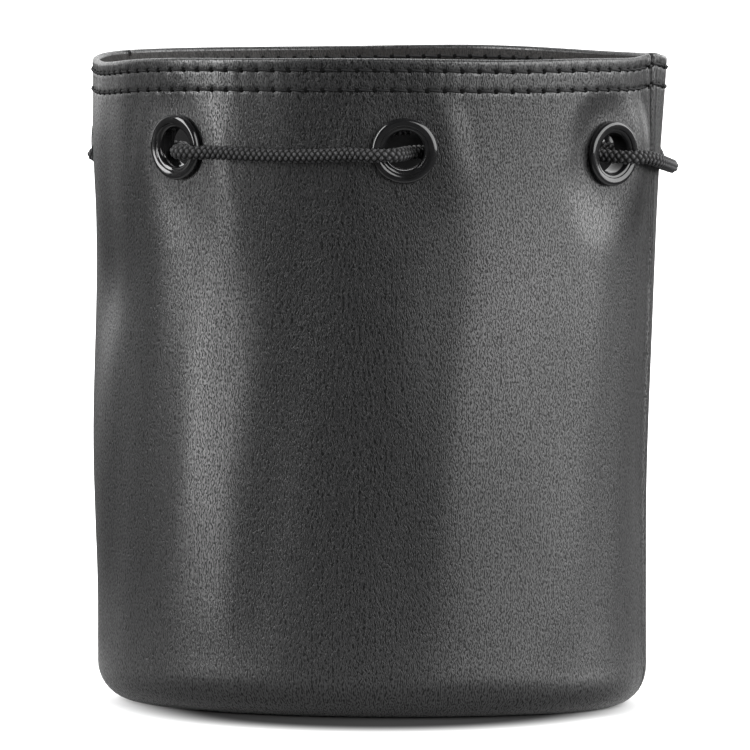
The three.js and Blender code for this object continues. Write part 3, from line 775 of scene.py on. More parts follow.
def weave_group(name):
    """Plain weave: threads that pass over and under in turn."""
    group, nodes, given, result = new_tree(
        "ShaderNodeTree", name, [("Place", VECTOR, None), ("Pitch", FLOAT, 0.3)],
        [("Height", FLOAT), ("Over", FLOAT)],
    )
    parts = nodes.parts(given["Place"])
    turns = [nodes.math("DIVIDE", parts[i], given["Pitch"]) for i in (0, 1)]
    waves = [nodes.math("SINE", nodes.math("MULTIPLY", turn, math.pi)) for turn in turns]
    height = nodes.math("MAXIMUM", *[nodes.math("ABSOLUTE", wave) for wave in waves])
    over = nodes.ramp(nodes.math("MULTIPLY", *waves), -0.6, 0.6)
    nodes.fill(result, {"Height": height, "Over": over})
    return group


def wear_group(name):
    """Slow smudges and fine specks of a moulded, enamelled or drawn surface."""
    group, nodes, given, result = new_tree(
        "ShaderNodeTree", name, [("Place", VECTOR, None), ("Scale", FLOAT, 200.0)],
        [("Smudge", FLOAT), ("Speck", FLOAT)],
    )
    smudge = nodes.noise(given["Place"], given["Scale"], 3.0)
    speck = nodes.noise(given["Place"], nodes.math("MULTIPLY", given["Scale"], 12.0), 2.0)
    nodes.fill(result, {"Smudge": nodes.ramp(smudge["Fac"], 0.3, 0.7), "Speck": speck["Fac"]})
    return group


def new_material(name):
    material = bpy.data.materials.new(name)
    material.use_nodes = True
    material.node_tree.nodes.clear()
    nodes = Nodes(material.node_tree)
    shader = nodes.add("ShaderNodeBsdfPrincipled")
    nodes.add("ShaderNodeOutputMaterial", {"Surface": shader.outputs[0]})
    return material, nodes, shader


def shade(tint, amount):
    """A tint made darker or paler, with its alpha."""
    return [part * amount for part in tint] + [1]


def surface_place(nodes):
    """The UV map in millimetres."""
    return nodes.scaled(nodes.output("ShaderNodeUVMap", uv_map="Surface"), UV_SPAN / MM)


def object_place(nodes):
    return nodes.add("ShaderNodeTexCoord").outputs["Object"]


def attribute(nodes, name):
    return nodes.add("ShaderNodeAttribute", attribute_name=name).outputs["Fac"]


def group_node(nodes, group, **inputs):
    return nodes.add("ShaderNodeGroup", inputs, node_tree=group).outputs


def wear(nodes, scale):
    return group_node(nodes, shared("Handling", wear_group), Place=object_place(nodes), Scale=scale)


def turned_mask(nodes, wall, spot):
    """1 on the hem's inner face, which lies past this length of the profile."""
    rows = leather_rows(wall)
    first = [row.face for row in rows].index("inner")
    begin = profile_lengths(wall, rows, wall.length / 2)[first] / MM
    return nodes.ramp(spot["Y"], begin - 1.5, begin + 0.5)


def seam_mask(nodes, wall, spot):
    """Nearly 1 in the line of each side seam."""
    half = wall.length / 2 / MM
    asides = []
    for seam in wall.seams:
        aside = nodes.math("WRAP", nodes.math("SUBTRACT", spot["X"], seam / MM), half, -half)
        asides.append(nodes.math("ABSOLUTE", aside))
    return nodes.ramp(nodes.math("MINIMUM", *asides), 0.6, 1.2, 0.95, 0.0)


HEM_TINT = (0.011, 0.009, 0.008, 1)  # of the pebbles on the hem's inner face


def leather_material():
    """Polished pebbles over dull valleys. The hem's inner face and the seams' lines stay dull."""
    leather = settings().leather
    material, nodes, shader = new_material("Black Grained Leather")
    place = surface_place(nodes)
    grain = group_node(
        nodes, shared("Leather Grain", grain_group), Place=place,
        Width=leather.grain_width / MM, Length=leather.grain_length / MM,
    )
    pebble = grain["Pebble"]
    wall, spot = Wall(), nodes.parts(place)
    turned = turned_mask(nodes, wall, spot)
    outside = nodes.math("SUBTRACT", 1.0, turned)
    joint = nodes.math("MULTIPLY", seam_mask(nodes, wall, spot), outside)
    plain = nodes.math("SUBTRACT", 1.0, nodes.math("MAXIMUM", turned, joint))
    pebbles = nodes.mix(pebble, shade(leather.tint, 0.15), shade(leather.tint, 2.0))
    polish = nodes.ramp(pebble, 0.0, 1.0, 0.4, 0.28)
    dull = nodes.math("ADD", polish, nodes.math("MULTIPLY", turned, 0.22))
    nodes.fill(shader, {
        "Base Color": nodes.mix(nodes.math("MULTIPLY", turned, pebble), pebbles, HEM_TINT),
        "Roughness": nodes.math("MAXIMUM", dull, joint),
        "Normal": nodes.bump(grain["Height"], leather.grain_depth),
        "Coat Weight": nodes.math("MULTIPLY", nodes.ramp(pebble, 0.0, 1.0, 0.05, 0.88), plain),
        "Specular IOR Level": 0.22,
        "Coat Roughness": 0.34,
    })
    return material


def cord_material():
    """Yarn with slanting fibres, smooth on the pearls, with painted light on the pearls and painted shade
    between them.
    """
    tint = settings().cord.tint
    material, nodes, shader = new_material("Braided Cord")
    place = surface_place(nodes)
    parts = nodes.parts(place)
    fibres = nodes.noise(place, 6.0, 3.0)["Fac"]
    lines = nodes.math("SINE", nodes.math("MULTIPLY", nodes.math("ADD", parts["X"], parts["Y"]), 22.0))
    height = nodes.math("ADD", nodes.math("MULTIPLY", lines, 0.5), fibres)
    pearl = nodes.ramp(attribute(nodes, "Pearl"), 0.25, 1.0)
    lit = nodes.math("MULTIPLY", pearl, fibres)
    # Painted light and shade: the pearls' colour is far paler than the yarn, and the gaps between them far
    # darker
    nodes.fill(shader, {
        "Base Color": nodes.mix(lit, shade(tint, 0.12), shade(tint, 8.0)),
        "Roughness": nodes.ramp(pearl, 0.0, 1.0, 0.9, 0.4),
        "Normal": nodes.bump(height, 0.03 * MM),
        "Specular IOR Level": 0.3,
    })
    return material


def thread_material():
    """Sewing thread, and the painted shade of the needle holes, which dark balls in them carry."""
    tint = settings().stitch.tint
    material, nodes, shader = new_material("Sewing Thread")
    fibres = nodes.noise(object_place(nodes), 9000.0, 2.0)["Fac"]
    hole = attribute(nodes, "HoleShade")
    yarn = nodes.mix(fibres, shade(tint, 0.6), shade(tint, 1.5))
    nodes.fill(shader, {
        # Painted shade: the balls in the needle holes are nearly black
        "Base Color": nodes.mix(hole, yarn, (0.0005, 0.0005, 0.0005, 1)),
        "Roughness": nodes.ramp(hole, 0.0, 1.0, 0.6, 1.0),
        "Normal": nodes.bump(fibres, 0.02 * MM),
        "Specular IOR Level": 0.15,
    })
    return material


def enamel_material():
    tint = settings().eyelet.tint
    material, nodes, shader = new_material("Black Enamel")
    smudge = wear(nodes, 300.0)["Smudge"]
    nodes.fill(shader, {
        "Base Color": nodes.mix(smudge, shade(tint, 0.85), shade(tint, 1.15)),
        "Roughness": nodes.ramp(smudge, 0.0, 1.0, 0.1, 0.16),
        "Specular IOR Level": 0.38,
        "Coat Weight": 0.12,
        "Coat Roughness": 0.06,
    })
    return material


def lining_material():
    tint = settings().lining.tint
    material, nodes, shader = new_material("Woven Lining")
    weave = group_node(nodes, shared("Plain Weave", weave_group), Place=surface_place(nodes), Pitch=0.32)
    nodes.fill(shader, {
        "Base Color": nodes.mix(weave["Over"], shade(tint, 0.7), shade(tint, 1.4)),
        "Normal": nodes.bump(weave["Height"], 0.05 * MM),
        "Roughness": 0.75,
        "Specular IOR Level": 0.2,
        "Sheen Weight": 0.04,
    })
    return material


def moulded_material(name, tint, roughness):
    material, nodes, shader = new_material(name)
    marks = wear(nodes, 220.0)
    nodes.fill(shader, {
        "Base Color": nodes.mix(marks["Smudge"], shade(tint, 0.85), shade(tint, 1.2)),
        "Roughness": nodes.ramp(marks["Smudge"], 0.0, 1.0, roughness - 0.05, roughness + 0.06),
        "Normal": nodes.bump(marks["Speck"], 0.02 * MM),
    })
    return material


def steel_material():
    material, nodes, shader = new_material("Spring Steel")
    smudge = wear(nodes, 500.0)["Smudge"]
    nodes.fill(shader, {
        "Base Color": nodes.mix(smudge, (0.48, 0.49, 0.5, 1), (0.62, 0.62, 0.63, 1)),
        "Roughness": nodes.ramp(smudge, 0.0, 1.0, 0.24, 0.36),
        "Metallic": 1.0,
    })
    return material


# Geometry Nodes

def end_tree(nodes, result, geometry, material):
    """Realize Instances and Set Material, then the output."""
    real = nodes.output("GeometryNodeRealizeInstances", {"Geometry": geometry})
    done = nodes.output("GeometryNodeSetMaterial", {"Geometry": real, "Material": material})
    nodes.fill(result, {"Geometry": done})


def run_tree(piece, tree, values):
    """Runs a tree on a piece with its inputs set by identifier, and keeps the result as a plain mesh."""
    modifier = piece.modifiers.new(tree.name, "NODES")
    modifier.node_group = tree
    for item in tree.interface.items_tree:
        if item.item_type == "SOCKET" and item.in_out == "INPUT" and item.name in values:
            modifier[item.identifier] = values[item.name]
    return bake(piece)


def capture(nodes, geometry, items):
    """Captures values on a geometry, given as (type, name, value), and returns the node's outputs."""
    node = nodes.add("GeometryNodeCaptureAttribute", {"Geometry": geometry})
    for kind, name, value in items:
        node.capture_items.new(kind, name)
        nodes.fill(node, {name: value})
    return node.outputs


def store(nodes, geometry, name, value, **options):
    """Keeps a value on a geometry as a named attribute."""
    inputs = {"Geometry": geometry, "Name": name, "Value": value}
    return nodes.output("GeometryNodeStoreNamedAttribute", inputs, **options)


UV_GIRTH = 11 * MM  # what the way round a cord measures in its UV map


def braid_tree(name):
    """A round braid along a curve: strands wind both ways, and each crossing swells out as a pearl."""
    tree, nodes, given, result = new_tree("GeometryNodeTree", name, [
        ("Geometry", GEOMETRY, None), ("Diameter", FLOAT, 3.35 * MM), ("Strands", INTEGER, 4),
        ("Lay", FLOAT, 1.4 * MM), ("Relief", FLOAT, 0.6 * MM), ("Step", FLOAT, 0.2 * MM),
        ("Sides", INTEGER, 44), ("Material", MATERIAL, None),
    ], [("Geometry", GEOMETRY)])
    curve = nodes.output("GeometryNodeMeshToCurve", {"Mesh": given["Geometry"]})
    even = nodes.output(
        "GeometryNodeResampleCurve", {"Curve": curve, "Length": given["Step"]}, mode="LENGTH"
    )
    spline = nodes.add("GeometryNodeSplineParameter").outputs
    place = nodes.output("GeometryNodeInputPosition")
    line = capture(nodes, even, [("FLOAT", "Along", spline["Length"]), ("VECTOR", "Middle", place)])
    core = nodes.math("SUBTRACT", nodes.math("MULTIPLY", given["Diameter"], 0.5), given["Relief"])
    ring = nodes.output("GeometryNodeCurvePrimitiveCircle", {"Resolution": given["Sides"], "Radius": core})
    circle = capture(nodes, ring, [("FLOAT", "Around", spline["Factor"])])
    tube = nodes.output("GeometryNodeCurveToMesh", {
        "Curve": line["Geometry"], "Profile Curve": circle["Geometry"], "Fill Caps": True,
    })
    wound = nodes.math("MULTIPLY", circle["Around"], given["Strands"])
    passed = nodes.math("DIVIDE", line["Along"], given["Lay"])
    ways = [nodes.math(operation, wound, passed) for operation in ("ADD", "SUBTRACT")]
    odd = nodes.math("FLOORED_MODULO", nodes.math("ADD", *[nodes.math("FLOOR", way) for way in ways]), 2.0)
    swells = []
    for way, powers in zip(ways, ((0.42, 0.85), (0.85, 0.42))):
        across = nodes.math("ABSOLUTE", nodes.math("SINE", nodes.math("MULTIPLY", way, math.pi)))
        power = nodes.ramp(odd, 0.0, 1.0, *powers, kind="LINEAR")
        swells.append(nodes.math("POWER", across, power))
    height = nodes.math("MULTIPLY", *swells)
    out = nodes.vector("NORMALIZE", nodes.vector("SUBTRACT", place, line["Middle"]))
    offset = nodes.scaled(out, nodes.math("MULTIPLY", height, given["Relief"]))
    raised = nodes.output("GeometryNodeSetPosition", {"Geometry": tube, "Offset": offset})
    girth = nodes.math("MULTIPLY", circle["Around"], UV_GIRTH)
    uv = nodes.xyz(
        X=nodes.math("DIVIDE", line["Along"], UV_SPAN), Y=nodes.math("DIVIDE", girth, UV_SPAN)
    )
    mapped = store(nodes, raised, "Surface", uv, data_type="FLOAT2", domain="CORNER")
    smooth = nodes.output("GeometryNodeSetShadeSmooth", {"Geometry": mapped, "Shade Smooth": True})
    pearls = store(nodes, smooth, "Pearl", height, data_type="FLOAT")
    end_tree(nodes, result, pearls, given["Material"])
    return tree


def stitch_tree(name):
    """A thread arched over the leather at each point, with its ends down in the needle holes, and a dark ball
    of painted shade in a hole.
    """
    tree, nodes, given, result = new_tree("GeometryNodeTree", name, [
        ("Geometry", GEOMETRY, None), ("Pitch", FLOAT, 4 * MM), ("Thread", FLOAT, 0.4 * MM),
        ("Rise", FLOAT, 0.3 * MM), ("Dive", FLOAT, 0.5 * MM), ("Material", MATERIAL, None),
    ], [("Geometry", GEOMETRY)])

    def minus(value):
        return nodes.math("MULTIPLY", value, -1.0)

    half = nodes.math("MULTIPLY", given["Pitch"], 0.49)
    knee = nodes.math("MULTIPLY", half, 0.72)
    slant = nodes.math("MULTIPLY", given["Thread"], 0.45)
    low = minus(given["Dive"])
    arch = nodes.output("GeometryNodeCurvePrimitiveBezierSegment", {
        "Resolution": 10,
        "Start": nodes.xyz(X=minus(half), Y=slant, Z=low),
        "Start Handle": nodes.xyz(X=minus(knee), Z=given["Rise"]),
        "End Handle": nodes.xyz(X=knee, Z=given["Rise"]),
        "End": nodes.xyz(X=half, Y=minus(slant), Z=low),
    })
    radius = nodes.math("MULTIPLY", given["Thread"], 0.5)
    ring = nodes.output("GeometryNodeCurvePrimitiveCircle", {"Resolution": 7, "Radius": radius})
    thread = nodes.output(
        "GeometryNodeCurveToMesh", {"Curve": arch, "Profile Curve": ring, "Fill Caps": True}
    )
    # A squashed ball in the needle hole: painted shade, standing in for the dark of the hole
    ball = nodes.output(
        "GeometryNodeMeshUVSphere", {"Segments": 10, "Rings": 6, "Radius": given["Thread"]}
    )
    pressed = nodes.output("GeometryNodeTransform", {
        "Geometry": ball, "Translation": nodes.xyz(X=half), "Scale": (1.1, 1.0, 0.5),
    })
    hole = store(nodes, pressed, "HoleShade", 1.0, data_type="FLOAT")
    joined = nodes.add("GeometryNodeJoinGeometry")
    for part in (thread, hole):
        tree.links.new(part, joined.inputs[0])
    stitch = nodes.output(
        "GeometryNodeSetShadeSmooth", {"Geometry": joined.outputs[0], "Shade Smooth": True}
    )
    along, outward = [
        nodes.output("GeometryNodeInputNamedAttribute", {"Name": label}, data_type="FLOAT_VECTOR")
        for label in ("along", "outward")
    ]
    lengthwise = nodes.output("FunctionNodeAlignRotationToVector", {"Vector": along}, axis="X")
    turned = nodes.output(
        "FunctionNodeAlignRotationToVector", {"Rotation": lengthwise, "Vector": outward},
        axis="Z", pivot_axis="X",
    )
    points = nodes.output("GeometryNodeMeshToPoints", {"Mesh": given["Geometry"]})
    row = nodes.output(
        "GeometryNodeInstanceOnPoints", {"Points": points, "Instance": stitch, "Rotation": turned}
    )
    end_tree(nodes, result, row, given["Material"])
    return tree


# Cord routes

def blend(place, start, end, first, second):
    """From the first value at start to the second at end."""
    return (end - place) / (end - start) * first + (place - start) / (end - start) * second


def curve_through(points, step=0.6 * MM):
    """A centripetal Catmull-Rom curve through points, as a dense list."""
    points = np.asarray(points, float)
    padded = np.vstack([2 * points[0] - points[1], points, 2 * points[-1] - points[-2]])
    knots = np.concatenate([[0], np.cumsum(np.linalg.norm(np.diff(padded, axis=0), axis=1) ** 0.5)])
    out = []
    for i in range(1, len(padded) - 2):
        p, t = padded[i - 1:i + 3], knots[i - 1:i + 3]
        count = max(2, round(np.linalg.norm(p[2] - p[1]) / step))
        u = np.linspace(t[1], t[2], count, endpoint=False)[:, None]
        a = [blend(u, t[k], t[k + 1], p[k], p[k + 1]) for k in range(3)]
        b = [blend(u, t[k], t[k + 2], a[k], a[k + 1]) for k in range(2)]
        out.append(blend(u, t[1], t[2], b[0], b[1]))
    return np.vstack(out + [points[-1:]])


def braided_cord(name, points, material):
    cord = settings().cord
    line = curve_through(points).tolist()
    mesh = bpy.data.meshes.new(name)
    mesh.from_pydata(line, [(i, i + 1) for i in range(len(line) - 1)], [])
    piece = link(name, mesh)
    run_tree(piece, shared("Round Braid", braid_tree), {
        "Diameter": cord.diameter, "Strands": cord.strands, "Lay": cord.lay, "Relief": cord.relief,
        "Material": material,
    })
    face_outwards(piece.data)
    return piece


TAILS = ((-1, "left"), (1, "right"))
RIGHT_SPAN = 1  # outer span behind the right side, counted from the rear eyelet
FRONT_SPAN = 3  # outer span across the front
EYELET_SAG = {1: 1.9, 5: 1.6}  # millimetres that the cord lies lower in two of the eyelets
INSIDE_RUN = -5.35  # millimetres from the seat to a cord that lies on an eyelet's curled end
OUTSIDE_RUN = 3.85  # and to one that lies on its flange
TAIL_SPREAD = 1.9  # the two cords side by side in the rear eyelet
TAIL_START = 2.8  # where the free tails begin, out from the rear eyelet
TAIL_OUT = 12.7  # where they hang straight and the lock slides on them, out from the rear eyelet

# Through an eyelet from inside to outside: along the rim and out, in millimetres
CROSSING = [
    (-7.4, INSIDE_RUN), (-4.2, INSIDE_RUN - 0.1), (-2.3, INSIDE_RUN + 1.2), (-0.9, -2.7), (0, -0.95),
    (0.9, 0.9), (2.3, 2.8), (4.2, OUTSIDE_RUN), (7.4, OUTSIDE_RUN),
]

# From the inside out through the rear eyelet, which both cords share: along, out and the share of
# the climb
CLOSURE_EXIT = [
    (7.4, INSIDE_RUN, 1), (4.6, INSIDE_RUN - 0.3, 1), (2.7, INSIDE_RUN + 0.6, 0.9), (2, -3.2, 0.6),
    (TAIL_SPREAD, -1, 0.2), (TAIL_SPREAD, TAIL_START - 0.3, 0),
]

# A free tail: aside, out from the rear eyelet and down from it
TAIL = [
    (TAIL_SPREAD, TAIL_START, 0.8), (TAIL_SPREAD, 4, 0.8), (TAIL_SPREAD, 7, 1.3), (TAIL_SPREAD, 9.6, 2.8),
    (TAIL_SPREAD, 11.5, 5.2), (TAIL_SPREAD, 12.5, 8), (TAIL_SPREAD, TAIL_OUT, 10.5),
    (TAIL_SPREAD, TAIL_OUT, 18), (TAIL_SPREAD, TAIL_OUT, 28), (TAIL_SPREAD, TAIL_OUT, 38),
    (TAIL_SPREAD, TAIL_OUT, 48), (TAIL_SPREAD, TAIL_OUT, 58), (TAIL_SPREAD, TAIL_OUT, 66),
    (TAIL_SPREAD, TAIL_OUT, 70), (2.6, 12.6, 75), (4.2, 12.3, 80), (5.5, 11.9, 85), (6, 11.7, 90),
]


def span_points(wall, index, outside):
    """The cord between two eyelets lies against the wall outside, or cuts the corner inside."""
    cord, lining = settings().cord, settings().lining
    seat, following = wall.seats[index], wall.seats[(index + 1) % len(wall.seats)]
    pitch = wall.from_to(seat.along, following.along)
    sag = {RIGHT_SPAN: cord.right_sag, FRONT_SPAN: cord.front_sag}.get(index, cord.sag)
    clear = GAP + cord.diameter / 2
    inner_face = wall.leather.thickness + GAP + lining.thickness
    found = []
    for share in (0.22, 0.36, 0.5, 0.64, 0.78):
        belly = math.sin(math.pi * share) ** 2
        depth = -clear if outside else inner_face + clear + cord.slack * belly
        if index == RIGHT_SPAN:
            belly = math.sin(math.pi * share**0.64) ** 1.4
            depth -= cord.right_bulge * math.sin(math.pi * share**1.6) ** 2
        level = seat.centre[2] + (following.centre[2] - seat.centre[2]) * share - cord.drop
        if index in (0, len(wall.seats) - 1):
            level += cord.climb * (share if index else 1 - share)
        height = np.array([level - (sag * belly if outside else 0)])
        found.append(wall.point(np.array([seat.along + pitch * share]), height, depth)[0])
    return found


def drawstring_points(wall):
    """From the rear eyelet round by +X through all the others, and back into the rear one."""
    drop, climb = settings().cord.drop, settings().cord.climb
    rear = wall.seats[0]

    def leaving(side):
        return [
            rear.beside(along * side * MM, out * MM, drop - climb * share)
            for along, out, share in CLOSURE_EXIT
        ]

    points = leaving(1)[::-1]
    for index, seat in enumerate(wall.seats):
        outside = index % 2 == 1
        if index:
            way = 1 if outside else -1
            low = drop + EYELET_SAG.get(index, 0) * MM
            passing = [seat.beside(along * way * MM, out * MM, low) for along, out in CROSSING]
            points += passing if outside else passing[::-1]
        points += span_points(wall, index, outside)
    return points + leaving(-1)


def tail_points(wall, side):
    """A tail hangs straight down behind the bag, and doesn't follow the seat's slope."""
    centre = wall.seats[0].centre
    return [centre + np.array([aside * side, out, -down]) * MM for aside, out, down in TAIL]


def cord_line(wall):
    """Where the tails hang straight, from the middle of the bag to the rear."""
    return float(wall.seats[0].centre[1] + TAIL_OUT * MM)


def knot_points(start):
    """A stopper knot: from the tail's end out into two turns round it, in again and out as a short end."""
    turns = 2.15
    count = 26
    reach = 2.75 * MM
    fall = 6.6 * MM
    points = [start + Vector((0, 0, 0.6 * MM))]
    for i in range(count + 1):
        share = i / count
        turn = 2 * math.pi * turns * share
        swell = smoothstep(share, 0, 0.16) * (1 - smoothstep(share, 0.86, 1))
        radius = reach * (0.12 + 0.88 * float(swell))
        down = 1.2 * MM + fall * share
        points.append(start + Vector((radius * math.cos(turn), radius * math.sin(turn), -down)))
    points += [start + Vector((0, 0, -down * MM)) for down in (10.2, 12.6)]
    return [np.array(point) for point in points]


# Profiles and cutters of the hard pieces, as (radius, height)

EYELET_METAL = 0.5 * MM  # thickness of the barrel
FLANGE_ROLL = 0.85 * MM  # radius of the rolled rim of the flange
DISH_RADIUS = 1.02 * MM  # of the flange's inner curve into the barrel
WASHER_EDGE = 0.35 * MM  # rounding of the washer


def eyelet_profile(eyelet):
    """A set eyelet: the rolled flange, the dish into the barrel, and the end that curls outwards."""
    bore, flange = eyelet.bore / 2, eyelet.flange / 2
    deep = eyelet.washer_depth + eyelet.washer_thickness + 0.3 * MM
    crest = flange - FLANGE_ROLL
    roll = arc((crest, 0.95 * MM), FLANGE_ROLL, -30, 95, 14)
    profile = [(min(radius, flange), max(height, 0.05 * MM)) for radius, height in roll]
    dish = ((0.45, 1.77), (0.8, 1.7), (0.94, 1.63), (1.02, 1.48), (1.08, 1.4))
    profile += [(crest - inward * MM, height * MM) for inward, height in dish]
    profile += arc((bore + DISH_RADIUS, 0.36 * MM), DISH_RADIUS, 88, 180, 12) + [(bore, -1.5 * MM)]
    curl = ((0, 0.1), (0.1, -0.35), (0.6, -0.6), (1.2, -0.5), (1.5, -0.1))
    profile += [(bore + outward * MM, -deep + up * MM) for outward, up in curl]
    return profile + [(bore + EYELET_METAL, -deep + 0.05 * MM), (bore + EYELET_METAL, 0.05 * MM)]


def washer_profile(eyelet):
    """A flat ring that the eyelet's end is curled over."""
    top = -eyelet.washer_depth
    foot = top - eyelet.washer_thickness
    inner, outer = eyelet.bore / 2 + EYELET_METAL + GAP, eyelet.washer / 2
    ring = [(inner, top), (inner, foot + 0.1 * MM), (inner + 0.1 * MM, foot)]
    return ring + arc((outer - WASHER_EDGE, foot + WASHER_EDGE), WASHER_EDGE, -90, 0, 6) + [(outer, top)]


LOCK_RADIUS = 6.8 * MM  # of the barrel below its collar
LOCK_BORE = 5.6 * MM  # radius of the bore that the button slides in
LOCK_FLOOR = 1.4 * MM  # thickness of the barrel's closed end
LOCK_ROUNDING = 0.3 * MM  # of the bore's mouth and floor
BUTTON_TRAVEL = 3.4 * MM
SLOT_CLEARANCE = 0.35 * MM  # between a tail and the slot that it passes through
SPRING_WIRE = 0.35 * MM  # radius of the wire
SPRING_TURNS = 4
TURN_STEPS = 28  # points on one turn of the spring


def barrel_profile(total, collar):
    """The lock's barrel, from the middle of its closed end out, up, over its collar and down the bore."""
    outer, bore, floor, rounding = LOCK_RADIUS, LOCK_BORE, LOCK_FLOOR, LOCK_ROUNDING
    profile = [(0, 0)] + arc((outer - 1.6 * MM, 1.6 * MM), 1.6 * MM, -90, 0, 9)
    profile += [(outer, total - 3.4 * MM), (outer, total - 2.7 * MM)]
    profile += [(collar - 0.15 * MM, total - 2.35 * MM), (collar, total - 2.1 * MM)]
    profile += arc((collar - 0.6 * MM, total - 0.6 * MM), 0.6 * MM, 0, 90, 7)
    profile += arc((bore + rounding, total - rounding), rounding, 90, 180, 4)
    return profile + [(bore, floor + rounding), (bore - rounding, floor), (0, floor)]


def button_profile(foot, head, radius):
    """The lock's button: a pip that centres the spring, a straight side and a dished head."""
    pip, base = 1.6 * MM, foot + 2 * MM
    edge = 0.3 * MM
    profile = [(0, foot), (pip - edge, foot)]
    profile += arc((pip - edge, foot + edge), edge, -90, 0, 4)[1:]
    profile += [(pip, base), (radius - 0.4 * MM, base), (radius, base + 0.4 * MM)]
    profile += [(radius, head - 0.9 * MM)] + arc((radius - 0.8 * MM, head - 0.85 * MM), 0.8 * MM, 8, 90, 8)
    dish = ((1.5, 0.08), (2.4, 0.42), (3.6, 0.72))
    profile += [(radius - inward * MM, head - down * MM) for inward, down in dish]
    return profile + [(0, head - 0.8 * MM)]


def cord_slot(place, travel):
    """The cutter for the slot of the two tails through the lock, longer by the button's travel."""
    radius = settings().cord.diameter / 2 + SLOT_CLEARANCE
    near = cord_line(Wall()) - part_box("lock_barrel")[0].y
    far = near + travel
    spread = TAIL_SPREAD * MM
    outline = []
    for x, y, start in ((spread, near, -90), (spread, far, 0), (-spread, far, 90), (-spread, near, 180)):
        outline += arc((x, y), radius, start, start + 90, 8)
    shape = bmesh.new()
    rings = [[shape.verts.new((x, side, y)) for x, y in outline] for side in (-12 * MM, 12 * MM)]
    for i in range(len(outline)):
        n = (i + 1) % len(outline)
        shape.faces.new([rings[0][i], rings[0][n], rings[1][n], rings[1][i]])
    for ring in rings:
        shape.faces.new(ring)
    bmesh.ops.remove_doubles(shape, verts=shape.verts, dist=ON_AXIS)
    bmesh.ops.recalc_face_normals(shape, faces=shape.faces)
    mesh = mesh_of(shape, "slot")
    mesh.transform(place)
    return link("slot", mesh)


def coil_points(low, high):
    """The middle of the spring's wire, round an axis along Y."""
    radius = (high.x - low.x) / 2 - SPRING_WIRE
    rise = high.y - low.y - 2 * SPRING_WIRE
    middle = (low.z + high.z) / 2
    points = []
    for i in range(SPRING_TURNS * TURN_STEPS + 1):
        turn = 2 * math.pi * i / TURN_STEPS
        along = low.y + SPRING_WIRE + rise * i / (SPRING_TURNS * TURN_STEPS)
        points.append((radius * math.cos(turn), along, middle - radius * math.sin(turn)))
    return points


def direction(side, rise=0.0):
    """The way to a point so far to the right of the camera and above the horizon, in radians."""
    turn = settings().stage.azimuth + side
    return Vector((math.sin(turn) * math.cos(rise), -math.cos(turn) * math.cos(rise), math.sin(rise)))


# Operators

class PouchOperator:
    bl_options = {"REGISTER", "UNDO"}


class POUCH_OT_camera(PouchOperator, Operator):
    """Places the camera where the pouch fills a square frame, seen a little from the right"""
    bl_idname = "pouch.camera"
    bl_label = "Camera"

    def execute(self, context):
        stage = settings().stage
        back = direction(0.0, stage.elevation)
        aim = Vector((0, 0, stage.aim_height)) + direction(math.pi / 2) * stage.aim_aside
        data = bpy.data.cameras.new("camera")
        data.lens = stage.lens
        data.sensor_width = 36
        data.clip_start, data.clip_end = 0.05, 50
        camera = link("camera", data)
        camera.location = aim + back * stage.distance
        camera.rotation_euler = (-back).to_track_quat("-Z", "Y").to_euler()
        context.scene.camera = camera
        return {"FINISHED"}


class POUCH_OT_cords(PouchOperator, Operator):
    """Braids the drawstring, its two tails and their stopper knots"""
    bl_idname = "pouch.cords"
    bl_label = "Drawstring"

    def execute(self, context):
        wall = Wall()
        material = cord_material()
        drawstring = braided_cord("braided_drawstring", drawstring_points(wall), material)
        stand_in(drawstring, "drawstring")
        for side, name in TAILS:
            route = tail_points(wall, side)
            tail = braided_cord(f"braided_tail_{name}", route, material)
            knot = braided_cord(f"stopper_knot_{name}", knot_points(Vector(route[-1])), material)
            stand_in(tail, f"drawstring_tail_{name}")
            stand_in(knot, f"tail_knot_{name}")
        return {"FINISHED"}


class POUCH_OT_leather(PouchOperator, Operator):
    """Lofts the front, rear and bottom panels, with the turned hem, the eyelet holes and the side seams"""
    bl_idname = "pouch.leather"
    bl_label = "Leather"

    def execute(self, context):
        wall = Wall()
        material = leather_material()
        for name, (start, end) in wall.spans(0.05 * MM).items():
            panel = leather_panel(f"leather_{name}", wall, start, end)
            dress(panel, material, 50)
            stand_in(panel, f"{name}_panel")
        base = oval_plate("leather_base", wall, base_rings(wall))
        dress(base, material)
        stand_in(base, "bottom_panel")
        return {"FINISHED"}


